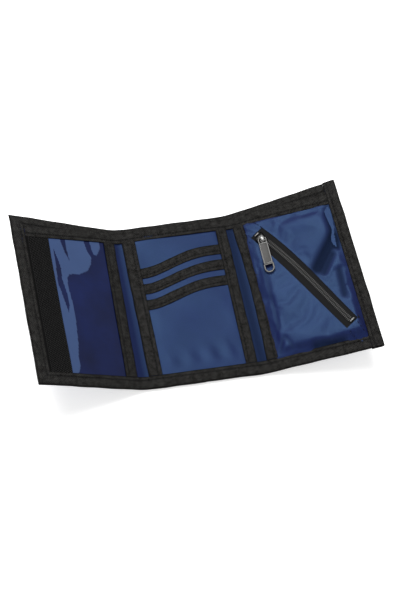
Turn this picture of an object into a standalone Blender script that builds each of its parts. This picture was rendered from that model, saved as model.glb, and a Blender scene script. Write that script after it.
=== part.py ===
# Trifold wallet in nylon cloth with black tape bindings: an identity window and hook strip on
# the left, card slots in the middle, and a coin pocket with a slanted zip on the right.
# Every piece is drawn in the flat, opened layout (+X towards the coin pocket, +Y towards the
# mouth of the note compartment, +Z out of the inner face), then the two outer panels are
# raised about the folds to the half-open rest pose.
import math

import bmesh
import bpy
from mathutils import Matrix, Vector

MM = 0.001

# Driving dimensions
PANEL_W = 86.0 * MM            # fold to fold, and fold to free edge
HEIGHT = 130.0 * MM
LEFT_REST = math.radians(29.0)      # how far each outer panel stands up at rest
RIGHT_REST = math.radians(20.0)
LEFT_AXIS_Z = 10.15 * MM       # fold axes, above the middle of the stack they fold over
RIGHT_AXIS_Z = 7.35 * MM
BEND_Z = 2.55 * MM             # level at which the cloth bends at rest
FOLD_HALF = 3.0 * MM           # half the width of cloth between two panels' pockets

# Sheet thicknesses
GAP = 0.15 * MM                # between layers that lie on each other
BUTT = 0.2 * MM                # between pieces that meet edge to edge
SHELL_T = 0.6 * MM
LINING_T = 0.3 * MM
LAYER_T = 0.2 * MM
FLANGE_T = 0.35 * MM
TAPE_T = 0.4 * MM
HOOK_T = 1.0 * MM
LOOP_T = 1.1 * MM

# Tapes and pockets
TAPE_W = 9.0 * MM
WINDOW_TAPE_W = 10.4 * MM
BLOCK_TAPE_W = (10.0 * MM, 8.8 * MM)   # left and right sides of the card block
COIN_TAPE_W = 8.6 * MM
LINING_DROP = 4.0 * MM         # lining's top edge below the shell's, at the folds
END_DROP = 10.0 * MM           # and at the free edges, where the mouth gapes
WINDOW_END = 59.0 * MM         # far side of the identity window, from the fold
SLOT_MOUTH_Y = 36.0 * MM       # rear card slot's mouth, on the panel's middle line
SLOT_PITCH = 13.0 * MM
SLOT_SLOPE = 0.18              # the slot mouths rise towards the coin pocket
SLOT_TAPE_W = 8.4 * MM
LOOP_START = 12.5 * MM         # loop strip on the outside of the right panel, from the fold
LOOP_W = 20.0 * MM

# Coin pocket and zip, as distances from the fold and from the top edge
POCKET_RISE = 2.4 * MM         # the pocket stands up this far inside its border
POCKET_SLOPE_W = 2.5 * MM
TUCK = 3.5 * MM                # cloth caught under a tape
ZIP_START = (19.0 * MM, 23.8 * MM)
ZIP_END = (69.3 * MM, 110.6 * MM)
ZIP_WINDOW_HALF = 5.0 * MM
ZIP_TAPE_T = 0.3 * MM
ZIP_TAPE_HALF = 5.8 * MM
ZIP_TAPE_INSET = 0.4 * MM      # from each end of the zip's window
COIL_HALF = 2.0 * MM
COIL_T = 1.0 * MM
STOP_LENGTH = 1.2 * MM
SLIDER_LENGTH = 9.0 * MM
SLIDER_FRONT = 2.5 * MM        # slider's head at rest, from the start of the zip
SLIDER_T = 0.7 * MM            # each of its two plates, and the walls between them
CROWN_HEIGHT = 1.65 * MM
PULL_AXIS_RISE = 0.7 * MM      # the pull's cross bar above the slider's top plate
PULL_LENGTH = 28.5 * MM
PULL_WIDTH = 6.5 * MM

FOLD_X = PANEL_W / 2
HALF_H = HEIGHT / 2
EDGE = TAPE_T + GAP            # a sheet's edge inside its folded tape


def over(level, thickness, gap=GAP):
    """Lowest and highest z of a sheet that lies on the given one."""
    return level[1] + gap, level[1] + gap + thickness


# Levels of the stack, outside of the wallet to inside; the tapes' rear legs lie on the table
SHELL = (EDGE, EDGE + SHELL_T)
SHELL_TAPE = over(SHELL, TAPE_T)
LINING_TAPE = over(SHELL_TAPE, TAPE_T)
LINING = over(LINING_TAPE, LINING_T)
FIRST = over(LINING, LAYER_T)          # window film, card backing and coin pocket back
SLOTS = [over(FIRST, LAYER_T)]
SLOTS.append(over(SLOTS[0], LAYER_T))
SLOTS.append(over(SLOTS[1], LAYER_T))
HOOK = over(LINING, HOOK_T)
FLANGE = over(FIRST, FLANGE_T)
POCKET_TOP = FLANGE[1] + POCKET_RISE
ZIP_TAPE = (POCKET_TOP - FLANGE_T - GAP - ZIP_TAPE_T, POCKET_TOP - FLANGE_T - GAP)
COIL = over(ZIP_TAPE, COIL_T)
SLIDER = over(COIL, SLIDER_T, BUTT)
SLIDER_BACK = (ZIP_TAPE[0] - BUTT - SLIDER_T, ZIP_TAPE[0] - BUTT)
CROWN = over(SLIDER, CROWN_HEIGHT)
PULL_AXIS_Z = SLIDER[1] + PULL_AXIS_RISE

CENTRE, LEFT, RIGHT, SLIDE, PULL = "centre_panel", "left_panel", "right_panel", "zip_slider", "zip_pull"


def clear_scene():
    for obj in list(bpy.data.objects):
        bpy.data.objects.remove(obj, do_unlink=True)


def material(name, colour, roughness, metallic=0.0, alpha=1.0):
    mat = bpy.data.materials.new(name)
    mat.use_nodes = True
    shader = mat.node_tree.nodes["Principled BSDF"]
    shader.inputs["Base Color"].default_value = (*colour, 1.0)
    shader.inputs["Roughness"].default_value = roughness
    shader.inputs["Metallic"].default_value = metallic
    shader.inputs["Alpha"].default_value = alpha
    return mat


def make_materials():
    return {
        "nylon_cloth": material("nylon_cloth", (0.030, 0.070, 0.170), 0.55),
        "binding_tape": material("binding_tape", (0.018, 0.018, 0.018), 0.85),
        "hook_tape": material("hook_tape", (0.010, 0.010, 0.010), 0.70),
        "loop_tape": material("loop_tape", (0.012, 0.012, 0.012), 0.95),
        "clear_film": material("clear_film", (0.10, 0.14, 0.30), 0.08, 0.0, 0.35),
        "zip_tape": material("zip_tape", (0.010, 0.010, 0.010), 0.80),
        "zip_coil": material("zip_coil", (0.025, 0.025, 0.025), 0.40),
        "gunmetal": material("gunmetal", (0.16, 0.16, 0.17), 0.32, 0.9),
    }


class Bench:
    """Holds the empties of the moving bodies and puts finished pieces under them."""

    def __init__(self, materials):
        self.materials = materials
        self.axes = {}

    def add_body(self, name, location, parent=None, turn=0.0):
        """location is the body's origin in the flat layout; turn is its rest angle about Y."""
        empty = bpy.data.objects.new(name + "_axis", None)
        bpy.context.scene.collection.objects.link(empty)
        origin = Vector(location)
        if parent:
            parent_empty, parent_origin = self.axes[parent]
            empty.parent = parent_empty
            empty.location = origin - parent_origin
        else:
            empty.location = origin
        empty.rotation_euler = (0.0, turn, 0.0)
        self.axes[name] = (empty, origin)
        return empty

    def add_piece(self, name, bm, body, slot):
        bmesh.ops.remove_doubles(bm, verts=bm.verts, dist=1e-6)
        bmesh.ops.recalc_face_normals(bm, faces=bm.faces)
        mesh = bpy.data.meshes.new(name)
        bm.to_mesh(mesh)
        bm.free()
        mesh.materials.append(self.materials[slot])
        obj = bpy.data.objects.new(name, mesh)
        bpy.context.scene.collection.objects.link(obj)
        if body != CENTRE:
            empty, origin = self.axes[body]
            obj.parent = empty
            obj.location = -origin
        return obj


def prism(outline, level):
    """Closed solid: a flat outline of (x, y) points between two heights."""
    bm = bmesh.new()
    base = bm.faces.new([bm.verts.new((x, y, level[0])) for x, y in outline])
    grown = bmesh.ops.extrude_face_region(bm, geom=[base])
    top = [item for item in grown["geom"] if isinstance(item, bmesh.types.BMVert)]
    bmesh.ops.translate(bm, verts=top, vec=(0.0, 0.0, level[1] - level[0]))
    return bm


def beam(section, start_x, end_x):
    """Closed solid: a section of (y, z) points carried along X."""
    bm = bmesh.new()
    base = bm.faces.new([bm.verts.new((start_x, y, z)) for y, z in section])
    grown = bmesh.ops.extrude_face_region(bm, geom=[base])
    far = [item for item in grown["geom"] if isinstance(item, bmesh.types.BMVert)]
    bmesh.ops.translate(bm, verts=far, vec=(end_x - start_x, 0.0, 0.0))
    return bm


def tape_section(stack, width, rear_leg=True):
    """Section of a tape folded over the edge of a stack: (distance in from the edge, z)."""
    low, high = stack[0] - GAP, stack[1] + GAP
    front = [(width, high), (width, high + TAPE_T)]
    if rear_leg:
        rear = [(0.0, low - TAPE_T), (width, low - TAPE_T), (width, low), (TAPE_T, low)]
    else:
        rear = [(0.0, stack[0]), (TAPE_T, stack[0])]
    return rear + [(TAPE_T, high)] + front + [(0.0, high + TAPE_T)]


def tape(start, end, section, mitres=(0.0, 0.0)):
    """Folded tape whose outer edge runs from start to end, with the sheet on its left."""
    start, end = Vector(start), Vector(end)
    along = (end - start).normalized()
    inward = Vector((-along.y, along.x))
    bm = bmesh.new()
    rings = []
    for point, sign, mitre in ((start, 1.0, mitres[0]), (end, -1.0, mitres[1])):
        ring = []
        for depth, z in section:
            place = point + inward * depth + along * (sign * mitre * depth)
            ring.append(bm.verts.new((place.x, place.y, z)))
        rings.append(ring)
    count = len(section)
    for i in range(count):
        j = (i + 1) % count
        bm.faces.new((rings[0][i], rings[0][j], rings[1][j], rings[1][i]))
    bm.faces.new(rings[0])
    bm.faces.new(rings[1])
    return bm


def side_x(side, from_fold):
    """x of a point on an outer panel, side being -1 for the left and 1 for the right."""
    return side * (FOLD_X + from_fold)


def lining_top(from_fold):
    """y of the lining's taped top edge on an outer panel."""
    share = from_fold / PANEL_W
    return HALF_H - LINING_DROP - (END_DROP - LINING_DROP) * share


def band_low(from_fold):
    """y of the lower edge of the lining's top tape."""
    return lining_top(from_fold) - TAPE_W


def panel_outline(side, near, far, bottom, top):
    """Four-sided outline on an outer panel; top is a function of the distance from the fold."""
    return [(side_x(side, near), bottom), (side_x(side, far), bottom),
            (side_x(side, far), top(far)), (side_x(side, near), top(near))]


def band(side, near, far, top, section, mitre=0.0):
    """Tape along the top edge of an outer panel, between two distances from the fold."""
    inner, outer = (side_x(side, near), top(near)), (side_x(side, far), top(far))
    slant = (outer[1] - inner[1]) / (outer[0] - inner[0])    # keeps the tape's ends upright
    if side > 0:
        return tape(outer, inner, section, (mitre + slant, -slant))
    return tape(inner, outer, section, (slant, mitre - slant))


def fold_strip(side, section):
    """Cloth or tape across a fold: a section of (y, z) points bent round to the raised panel."""
    angle = LEFT_REST if side < 0 else RIGHT_REST
    length = FOLD_HALF - GAP / 2
    radius = length / math.tan(angle / 2) + BEND_Z
    start_x = side * (FOLD_X - length)
    bm = bmesh.new()
    face = bm.faces.new([bm.verts.new((start_x, y, z)) for y, z in section])
    bmesh.ops.spin(bm, geom=[face], cent=(start_x, 0.0, radius), axis=(0.0, 1.0, 0.0),
                   dvec=(0.0, 0.0, 0.0), angle=-side * angle, steps=5, use_duplicate=False)
    ends = [f for f in bm.faces if len(f.verts) == len(section)]
    if len(ends) == 1:
        bm.faces.new([bm.verts.new((start_x, y, z)) for y, z in section])
    return bm


def rectangle(low_y, high_y, level):
    return [(low_y, level[0]), (high_y, level[0]), (high_y, level[1]), (low_y, level[1])]


def turned(section, edge_y, inward):
    """A tape section placed at an edge: distance in from the edge becomes y."""
    return [(edge_y + inward * depth, z) for depth, z in section]


def make_centre(bench):
    half = FOLD_X - FOLD_HALF
    low, top = -HALF_H + EDGE, HALF_H - EDGE
    lining_y = HALF_H - LINING_DROP
    block_low = -HALF_H + EDGE
    block_top = lining_y - EDGE
    field = HALF_H - TAPE_W - BUTT     # between the tapes the shell sags down to the table
    shell_section = [(low, SHELL[0]), (-field, SHELL[0]), (-field, 0.0), (field, 0.0),
                     (field, SHELL[0]), (top, SHELL[0]), (top, SHELL[1]), (low, SHELL[1])]
    lining_outline = [(-half, low), (half, low), (half, lining_y - EDGE), (-half, lining_y - EDGE)]
    bench.add_piece("centre_shell", beam(shell_section, -half, half), CENTRE, "nylon_cloth")
    bench.add_piece("centre_lining", prism(lining_outline, LINING), CENTRE, "nylon_cloth")
    bench.add_piece("centre_shell_top_binding",
                    tape((half, HALF_H), (-half, HALF_H), tape_section(SHELL, TAPE_W)),
                    CENTRE, "binding_tape")
    bench.add_piece("centre_lining_top_binding",
                    tape((half, lining_y), (-half, lining_y),
                         tape_section((LINING[0], FIRST[1]), TAPE_W)),
                    CENTRE, "binding_tape")
    bench.add_piece("centre_bottom_binding",
                    tape((-half, -HALF_H), (half, -HALF_H),
                         tape_section((SHELL[0], SLOTS[2][1]), TAPE_W)),
                    CENTRE, "binding_tape")

    edges = (-half + EDGE, half - EDGE)
    backing = [(edges[0], block_low), (edges[1], block_low),
               (edges[1], block_top), (edges[0], block_top)]
    bench.add_piece("card_block_backing", prism(backing, FIRST), CENTRE, "nylon_cloth")
    inner = (-half + BLOCK_TAPE_W[0] + BUTT, half - BLOCK_TAPE_W[1] - BUTT)
    for i, name in enumerate(("rear", "middle", "front")):
        mouth = SLOT_MOUTH_Y - i * SLOT_PITCH
        cloth_y = mouth - EDGE
        outline = [(edges[0], block_low), (edges[1], block_low),
                   (edges[1], cloth_y + SLOT_SLOPE * edges[1]),
                   (edges[0], cloth_y + SLOT_SLOPE * edges[0])]
        bench.add_piece(f"card_pocket_{name}", prism(outline, SLOTS[i]), CENTRE, "nylon_cloth")
        start = (inner[1], mouth + SLOT_SLOPE * inner[1])
        end = (inner[0], mouth + SLOT_SLOPE * inner[0])
        lip = tape_section(SLOTS[i], SLOT_TAPE_W, rear_leg=False)
        skew = SLOT_SLOPE      # keeps the tape's ends parallel to the block's sides
        bench.add_piece(f"card_slot_binding_{name}", tape(start, end, lip, (skew, -skew)),
                        CENTRE, "binding_tape")
    stack = (FIRST[0], SLOTS[2][1])
    side_low, side_top = -HALF_H + TAPE_W + BUTT, lining_y - TAPE_W - BUTT
    bench.add_piece("card_block_binding_left",
                    tape((-half, side_top), (-half, side_low),
                         tape_section(stack, BLOCK_TAPE_W[0], rear_leg=False)),
                    CENTRE, "binding_tape")
    bench.add_piece("card_block_binding_right",
                    tape((half, side_low), (half, side_top),
                         tape_section(stack, BLOCK_TAPE_W[1], rear_leg=False)),
                    CENTRE, "binding_tape")


def make_folds(bench):
    low, top = -HALF_H + EDGE, HALF_H - EDGE
    lining_y = HALF_H - LINING_DROP
    sections = {
        "shell": (rectangle(low, top, SHELL), "nylon_cloth"),
        "lining": (rectangle(low, lining_y - EDGE, LINING), "nylon_cloth"),
        "shell_top_binding": (turned(tape_section(SHELL, TAPE_W), HALF_H, -1), "binding_tape"),
        "lining_top_binding": (turned(tape_section(LINING, TAPE_W), lining_y, -1), "binding_tape"),
        "bottom_binding": (turned(tape_section((SHELL[0], LINING[1]), TAPE_W), -HALF_H, 1),
                           "binding_tape"),
    }
    for side, name in ((-1, "left_fold"), (1, "right_fold")):
        for part, (section, slot) in sections.items():
            bench.add_piece(f"{name}_{part}", fold_strip(side, section), CENTRE, slot)


def make_outer_panel(bench, side, body, prefix, pocket_high, mitre):
    """Shell, lining and edge tapes that both outer panels have."""
    low = -HALF_H + EDGE
    far = PANEL_W - EDGE
    inside = PANEL_W - TAPE_W - BUTT
    bench.add_piece(f"{prefix}_shell",
                    prism(panel_outline(side, FOLD_HALF, far, low, lambda u: HALF_H - EDGE), SHELL),
                    body, "nylon_cloth")
    bench.add_piece(f"{prefix}_lining",
                    prism(panel_outline(side, FOLD_HALF, far, low, lambda u: lining_top(u) - EDGE),
                          LINING),
                    body, "nylon_cloth")
    shell_far = PANEL_W - BUTT if mitre else inside
    bench.add_piece(f"{prefix}_shell_top_binding",
                    band(side, FOLD_HALF, shell_far, lambda u: HALF_H,
                         tape_section(SHELL, TAPE_W), mitre),
                    body, "binding_tape")
    bench.add_piece(f"{prefix}_lining_top_binding",
                    band(side, FOLD_HALF, inside, lining_top,
                         tape_section((LINING[0], pocket_high), TAPE_W)),
                    body, "binding_tape")
    stack = (SHELL[0], pocket_high)
    ends = sorted([side_x(side, FOLD_HALF), side_x(side, shell_far)])
    mitres = (mitre, 0.0) if side < 0 else (0.0, mitre)
    bench.add_piece(f"{prefix}_bottom_binding",
                    tape((ends[0], -HALF_H), (ends[1], -HALF_H), tape_section(stack, TAPE_W), mitres),
                    body, "binding_tape")
    edge_x = side_x(side, PANEL_W)
    trim = BUTT if mitre else 0.0
    low_end, high_end = (edge_x, -HALF_H + trim), (edge_x, HALF_H - trim)
    ends = (high_end, low_end) if side < 0 else (low_end, high_end)
    bench.add_piece(f"{prefix}_edge_binding",
                    tape(*ends, tape_section(stack, TAPE_W), (mitre, mitre)),
                    body, "binding_tape")


def make_left(bench):
    make_outer_panel(bench, -1, LEFT, "left", FIRST[1], 1.0)
    low = -HALF_H + EDGE
    film = panel_outline(-1, FOLD_HALF + EDGE, WINDOW_END, low, lambda u: lining_top(u) - EDGE)
    bench.add_piece("window_film", prism(film, FIRST), LEFT, "clear_film")
    hook = panel_outline(-1, WINDOW_END + BUTT, PANEL_W - TAPE_W - BUTT, -HALF_H + TAPE_W + BUTT,
                         lambda u: band_low(u) - BUTT)
    bench.add_piece("hook_strip", prism(hook, HOOK), LEFT, "hook_tape")
    near_x = side_x(-1, FOLD_HALF)
    window_top = band_low(FOLD_HALF + WINDOW_TAPE_W) - BUTT
    bench.add_piece("window_binding",
                    tape((near_x, -HALF_H + TAPE_W + BUTT), (near_x, window_top),
                         tape_section(FIRST, WINDOW_TAPE_W, rear_leg=False)),
                    LEFT, "binding_tape")


class ZipLine:
    """The zip's centre line on the right panel, in the flat layout."""

    def __init__(self):
        self.start = Vector((side_x(1, ZIP_START[0]), HALF_H - ZIP_START[1]))
        end = Vector((side_x(1, ZIP_END[0]), HALF_H - ZIP_END[1]))
        self.length = (end - self.start).length
        self.along = (end - self.start).normalized()
        self.across = Vector((-self.along.y, self.along.x))   # towards the free top corner

    def at(self, distance, offset=0.0):
        place = self.start + self.along * distance + self.across * offset
        return place.x, place.y

    def strip(self, begin, end, low, high):
        return [self.at(begin, low), self.at(end, low), self.at(end, high), self.at(begin, high)]


def pocket_sheet():
    """The coin pocket's front as one sheet: flange, raised border and flat top."""
    near, far = FOLD_HALF + COIN_TAPE_W + BUTT, PANEL_W - TAPE_W - BUTT
    bottom = -HALF_H + TAPE_W + BUTT
    rings = []
    for grow, z in ((TUCK, FLANGE[1]), (0.0, FLANGE[1]), (-POCKET_SLOPE_W, POCKET_TOP)):
        outline = panel_outline(1, near - grow, far + grow, bottom - grow,
                                lambda u, g=grow: band_low(u) - BUTT + g)
        rings.append([Vector((x, y, z)) for x, y in outline])
    bm = bmesh.new()
    loops = [[bm.verts.new(point) for point in ring] for ring in rings]
    for outer, inner in zip(loops, loops[1:]):
        for i in range(4):
            j = (i + 1) % 4
            bm.faces.new((outer[i], outer[j], inner[j], inner[i]))
    bm.faces.new(loops[-1])
    return bm


def trim(bm, point, normal):
    """Keeps the part of a sheet on the side that normal points to."""
    geometry = bm.verts[:] + bm.edges[:] + bm.faces[:]
    bmesh.ops.bisect_plane(bm, geom=geometry, dist=1e-7, plane_co=(*point, 0.0),
                           plane_no=(*normal, 0.0), clear_inner=True)


def thicken(obj, thickness):
    solid = obj.modifiers.new("thickness", "SOLIDIFY")
    solid.thickness = thickness
    solid.offset = -1.0


def make_pocket_piece(bench, name, cuts):
    bm = pocket_sheet()
    for point, normal in cuts:
        trim(bm, point, normal)
    mesh_normals_up(bm)
    thicken(add_sheet(bench, name, bm, RIGHT, "nylon_cloth"), FLANGE_T)


def mesh_normals_up(bm):
    for face in bm.faces:
        face.normal_update()
        if face.normal.z < 0.0:
            face.normal_flip()


def add_sheet(bench, name, bm, body, slot):
    """An open sheet keeps its own normals, so it skips the recalculation of add_piece."""
    mesh = bpy.data.meshes.new(name)
    bm.to_mesh(mesh)
    bm.free()
    mesh.materials.append(bench.materials[slot])
    obj = bpy.data.objects.new(name, mesh)
    bpy.context.scene.collection.objects.link(obj)
    empty, origin = bench.axes[body]
    obj.parent = empty
    obj.location = -origin
    return obj


def make_right(bench, zip_line):
    make_outer_panel(bench, 1, RIGHT, "right", FLANGE[1], 0.0)
    low = -HALF_H + EDGE
    back = panel_outline(1, FOLD_HALF + EDGE, PANEL_W - EDGE, low, lambda u: lining_top(u) - EDGE)
    bench.add_piece("coin_pocket_back", prism(back, FIRST), RIGHT, "nylon_cloth")
    loop_y = HALF_H - TAPE_W - BUTT
    loop_level = (SHELL[0] - GAP - LOOP_T, SHELL[0] - GAP)
    loop = panel_outline(1, LOOP_START, LOOP_START + LOOP_W, -loop_y, lambda u: loop_y)
    bench.add_piece("loop_strip", prism(loop, loop_level), RIGHT, "loop_tape")
    near_x = side_x(1, FOLD_HALF)
    bench.add_piece("coin_pocket_binding",
                    tape((near_x, band_low(FOLD_HALF + COIN_TAPE_W) - BUTT),
                         (near_x, -HALF_H + TAPE_W + BUTT),
                         tape_section((FIRST[0], FLANGE[1]), COIN_TAPE_W, rear_leg=False)),
                    RIGHT, "binding_tape")

    half, seam = ZIP_WINDOW_HALF, GAP
    upper_cut = (zip_line.at(0.0, half), zip_line.across)
    lower_cut = (zip_line.at(0.0, -half), -zip_line.across)
    make_pocket_piece(bench, "coin_pocket_upper", [upper_cut])
    make_pocket_piece(bench, "coin_pocket_lower", [lower_cut])
    sides = [(zip_line.at(0.0, half - seam), -zip_line.across),
             (zip_line.at(0.0, -half + seam), zip_line.across)]
    make_pocket_piece(bench, "zip_end_tab_top", sides + [(zip_line.at(0.0), -zip_line.along)])
    make_pocket_piece(bench, "zip_end_tab_bottom",
                      sides + [(zip_line.at(zip_line.length), zip_line.along)])


def make_zip(bench, zip_line):
    length = zip_line.length
    coil_start = SLIDER_FRONT - ZIP_TAPE_INSET
    coil_end = length - coil_start - STOP_LENGTH
    for name, sign in (("upper", 1.0), ("lower", -1.0)):
        tape_strip = zip_line.strip(ZIP_TAPE_INSET, length - ZIP_TAPE_INSET,
                                    sign * BUTT / 2, sign * ZIP_TAPE_HALF)
        bench.add_piece(f"zip_tape_{name}", prism(tape_strip, ZIP_TAPE), RIGHT, "zip_tape")
        coil_strip = zip_line.strip(coil_start, coil_end, sign * BUTT / 2, sign * COIL_HALF)
        bench.add_piece(f"zip_coil_{name}", prism(coil_strip, COIL), RIGHT, "zip_coil")
    stops = (("zip_top_stop", coil_start - BUTT - STOP_LENGTH), ("zip_bottom_stop", coil_end + BUTT))
    for name, begin in stops:
        strip = zip_line.strip(begin, begin + STOP_LENGTH, -COIL_HALF, COIL_HALF)
        bench.add_piece(name, prism(strip, COIL), RIGHT, "gunmetal")


def slider_place(zip_line):
    x, y = zip_line.at(SLIDER_FRONT + SLIDER_LENGTH / 2)
    return Vector((x, y, SLIDER[0]))


def add_lane(bm, rows, level):
    """A strip of boxes between two side lines; rows are ((x, y) one side, (x, y) other side)."""
    lower = [[bm.verts.new((*point, level[0])) for point in row] for row in rows]
    upper = [[bm.verts.new((*point, level[1])) for point in row] for row in rows]
    for i in range(len(rows) - 1):
        bm.faces.new((lower[i][0], lower[i][1], lower[i + 1][1], lower[i + 1][0]))
        bm.faces.new((upper[i][0], upper[i + 1][0], upper[i + 1][1], upper[i][1]))
        for side in (0, 1):
            bm.faces.new((lower[i][side], lower[i + 1][side], upper[i + 1][side], upper[i][side]))
    for i in (0, len(rows) - 1):
        bm.faces.new((lower[i][0], lower[i][1], upper[i][1], upper[i][0]))


def union(obj, bm, name, body, bench):
    """Joins another shape to a piece with a Boolean, whose cutter stays as a hidden guide."""
    guide = bench.add_piece(name + "_guide", bm, body, "gunmetal")
    guide.hide_render = True
    guide.display_type = "WIRE"
    boolean = obj.modifiers.new("join", "BOOLEAN")
    boolean.operation = "UNION"
    boolean.object = guide


def make_slider(bench, zip_line):
    centre = SLIDER_FRONT + SLIDER_LENGTH / 2
    half = SLIDER_LENGTH / 2
    head, waist, tail = 3.9 * MM, 3.4 * MM, 3.1 * MM
    stations = ((-half, head * 0.8), (-half * 0.6, head), (0.0, waist), (half * 0.85, tail),
                (half, tail * 0.8))
    plate_rows = [(zip_line.at(centre + s, -w), zip_line.at(centre + s, w)) for s, w in stations]
    bm = bmesh.new()
    add_lane(bm, plate_rows, SLIDER)
    body = bench.add_piece("slider_body", bm, SLIDE, "gunmetal")
    for i, sign in enumerate((-1.0, 1.0)):
        rows = [(zip_line.at(centre + s, sign * (w - SLIDER_T)), zip_line.at(centre + s, sign * w))
                for s, w in stations[1:4]]
        rail = bmesh.new()
        add_lane(rail, rows, (ZIP_TAPE[1] + BUTT, SLIDER[0] + SLIDER_T / 3))
        union(body, rail, f"slider_rail_{i}", SLIDE, bench)
    bm = bmesh.new()
    add_lane(bm, plate_rows, SLIDER_BACK)
    bench.add_piece("slider_back_plate", bm, SLIDE, "gunmetal")

    reach, foot, rise, width = 3.2 * MM, 1.0 * MM, 1.1 * MM, 0.8 * MM
    arch = [(-reach, CROWN[0]), (-reach + foot, CROWN[0]), (-reach + foot, CROWN[0] + rise),
            (reach - foot, CROWN[0] + rise), (reach - foot, CROWN[0]), (reach, CROWN[0]),
            (reach, CROWN[1] - 0.3 * MM), (reach - foot * 0.8, CROWN[1]),
            (-reach + foot * 0.8, CROWN[1]), (-reach, CROWN[1] - 0.3 * MM)]
    bm = bmesh.new()
    sides = []
    for offset in (-width, width):
        points = [(*zip_line.at(centre + s, offset), z) for s, z in arch]
        sides.append([bm.verts.new(point) for point in points])
    for i in range(len(arch)):
        j = (i + 1) % len(arch)
        bm.faces.new((sides[0][i], sides[0][j], sides[1][j], sides[1][i]))
    bm.faces.new(sides[0])
    bm.faces.new(sides[1])
    bench.add_piece("slider_crown", bm, SLIDE, "gunmetal")


def make_pull(bench, zip_line):
    """Pull tab: a cross bar under the crown, two arms, a flat plate and a loop at its end."""
    pin = slider_place(zip_line)
    bar, arm, arm_reach, plate_end = 0.4 * MM, 0.7 * MM, 4.3 * MM, 20.5 * MM
    half, loop_half = PULL_WIDTH / 2, PULL_WIDTH / 2 + 0.6 * MM
    inset = 0.1 * MM                                  # keeps joined faces out of one plane
    arms = (PULL_AXIS_Z - bar * 0.8, PULL_AXIS_Z + bar * 0.8)
    plate = (PULL_AXIS_Z - 0.6 * MM, PULL_AXIS_Z + 0.6 * MM)

    def box(x0, x1, y0, y1, level):
        return prism([(pin.x + x0, pin.y + y0), (pin.x + x1, pin.y + y0),
                      (pin.x + x1, pin.y + y1), (pin.x + x0, pin.y + y1)], level)

    piece = bench.add_piece("pull_tab", box(-half, half, -plate_end, -arm_reach, plate),
                            PULL, "gunmetal")
    bm = bmesh.new()
    turn = Matrix.Translation((pin.x, pin.y, PULL_AXIS_Z)) @ Matrix.Rotation(math.pi / 2, 4, "Y")
    bmesh.ops.create_cone(bm, cap_ends=True, segments=12, radius1=bar, radius2=bar,
                          depth=PULL_WIDTH - 4 * inset, matrix=turn)
    union(piece, bm, "pull_bar", PULL, bench)
    for i, sign in enumerate((-1.0, 1.0)):
        x0, x1 = sorted((sign * (half - inset), sign * (half - inset - arm)))
        union(piece, box(x0, x1, -arm_reach - 0.5 * MM, 0.0, arms), f"pull_arm_{i}", PULL, bench)

    loop_start, hole_half, hole_length, wire = plate_end - 1.5 * MM, 2.6 * MM, 3.9 * MM, 1.3 * MM
    outline = [(-loop_half, -loop_start), (-loop_half, -PULL_LENGTH + loop_half)]
    steps = 8
    for i in range(1, steps):
        angle = math.pi + math.pi * i / steps
        outline.append((loop_half * math.cos(angle),
                        -PULL_LENGTH + loop_half + loop_half * math.sin(angle)))
    outline += [(loop_half, -PULL_LENGTH + loop_half), (loop_half, -loop_start)]
    loop = prism([(pin.x + x, pin.y + y) for x, y in outline],
                 (PULL_AXIS_Z - 0.55 * MM, PULL_AXIS_Z + 0.55 * MM))
    union(piece, loop, "pull_loop", PULL, bench)
    hole = box(-hole_half, hole_half, -PULL_LENGTH + wire, -PULL_LENGTH + wire + hole_length,
               (PULL_AXIS_Z - 2 * MM, PULL_AXIS_Z + 2 * MM))
    guide = bench.add_piece("pull_hole_guide", hole, PULL, "gunmetal")
    guide.hide_render = True
    guide.display_type = "WIRE"
    cut = piece.modifiers.new("hole", "BOOLEAN")
    cut.operation = "DIFFERENCE"
    cut.object = guide


def axis_in_flat_layout(side, axis_z, angle):
    """Where the fold axis lies on the raised panel before the panel is raised."""
    bend = Vector((side * FOLD_X, 0.0, BEND_Z))
    axis = Vector((side * FOLD_X, 0.0, axis_z))
    return bend + Matrix.Rotation(side * angle, 3, "Y") @ (axis - bend), axis


def main():
    clear_scene()
    bench = Bench(make_materials())
    zip_line = ZipLine()
    for side, body, axis_z, angle in ((-1, LEFT, LEFT_AXIS_Z, LEFT_REST),
                                      (1, RIGHT, RIGHT_AXIS_Z, RIGHT_REST)):
        flat, axis = axis_in_flat_layout(side, axis_z, angle)
        empty = bench.add_body(body, flat, turn=-side * angle)
        empty.location = axis
    pin = slider_place(zip_line)
    bench.add_body(SLIDE, pin, parent=RIGHT)
    bench.add_body(PULL, (pin.x, pin.y, PULL_AXIS_Z), parent=SLIDE)

    make_centre(bench)
    make_folds(bench)
    make_left(bench)
    make_right(bench, zip_line)
    make_zip(bench, zip_line)
    make_slider(bench, zip_line)
    make_pull(bench, zip_line)
    bpy.context.view_layer.update()


main()
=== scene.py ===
import math
import random

import bpy
import numpy as np
from mathutils import Matrix, Vector


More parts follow.
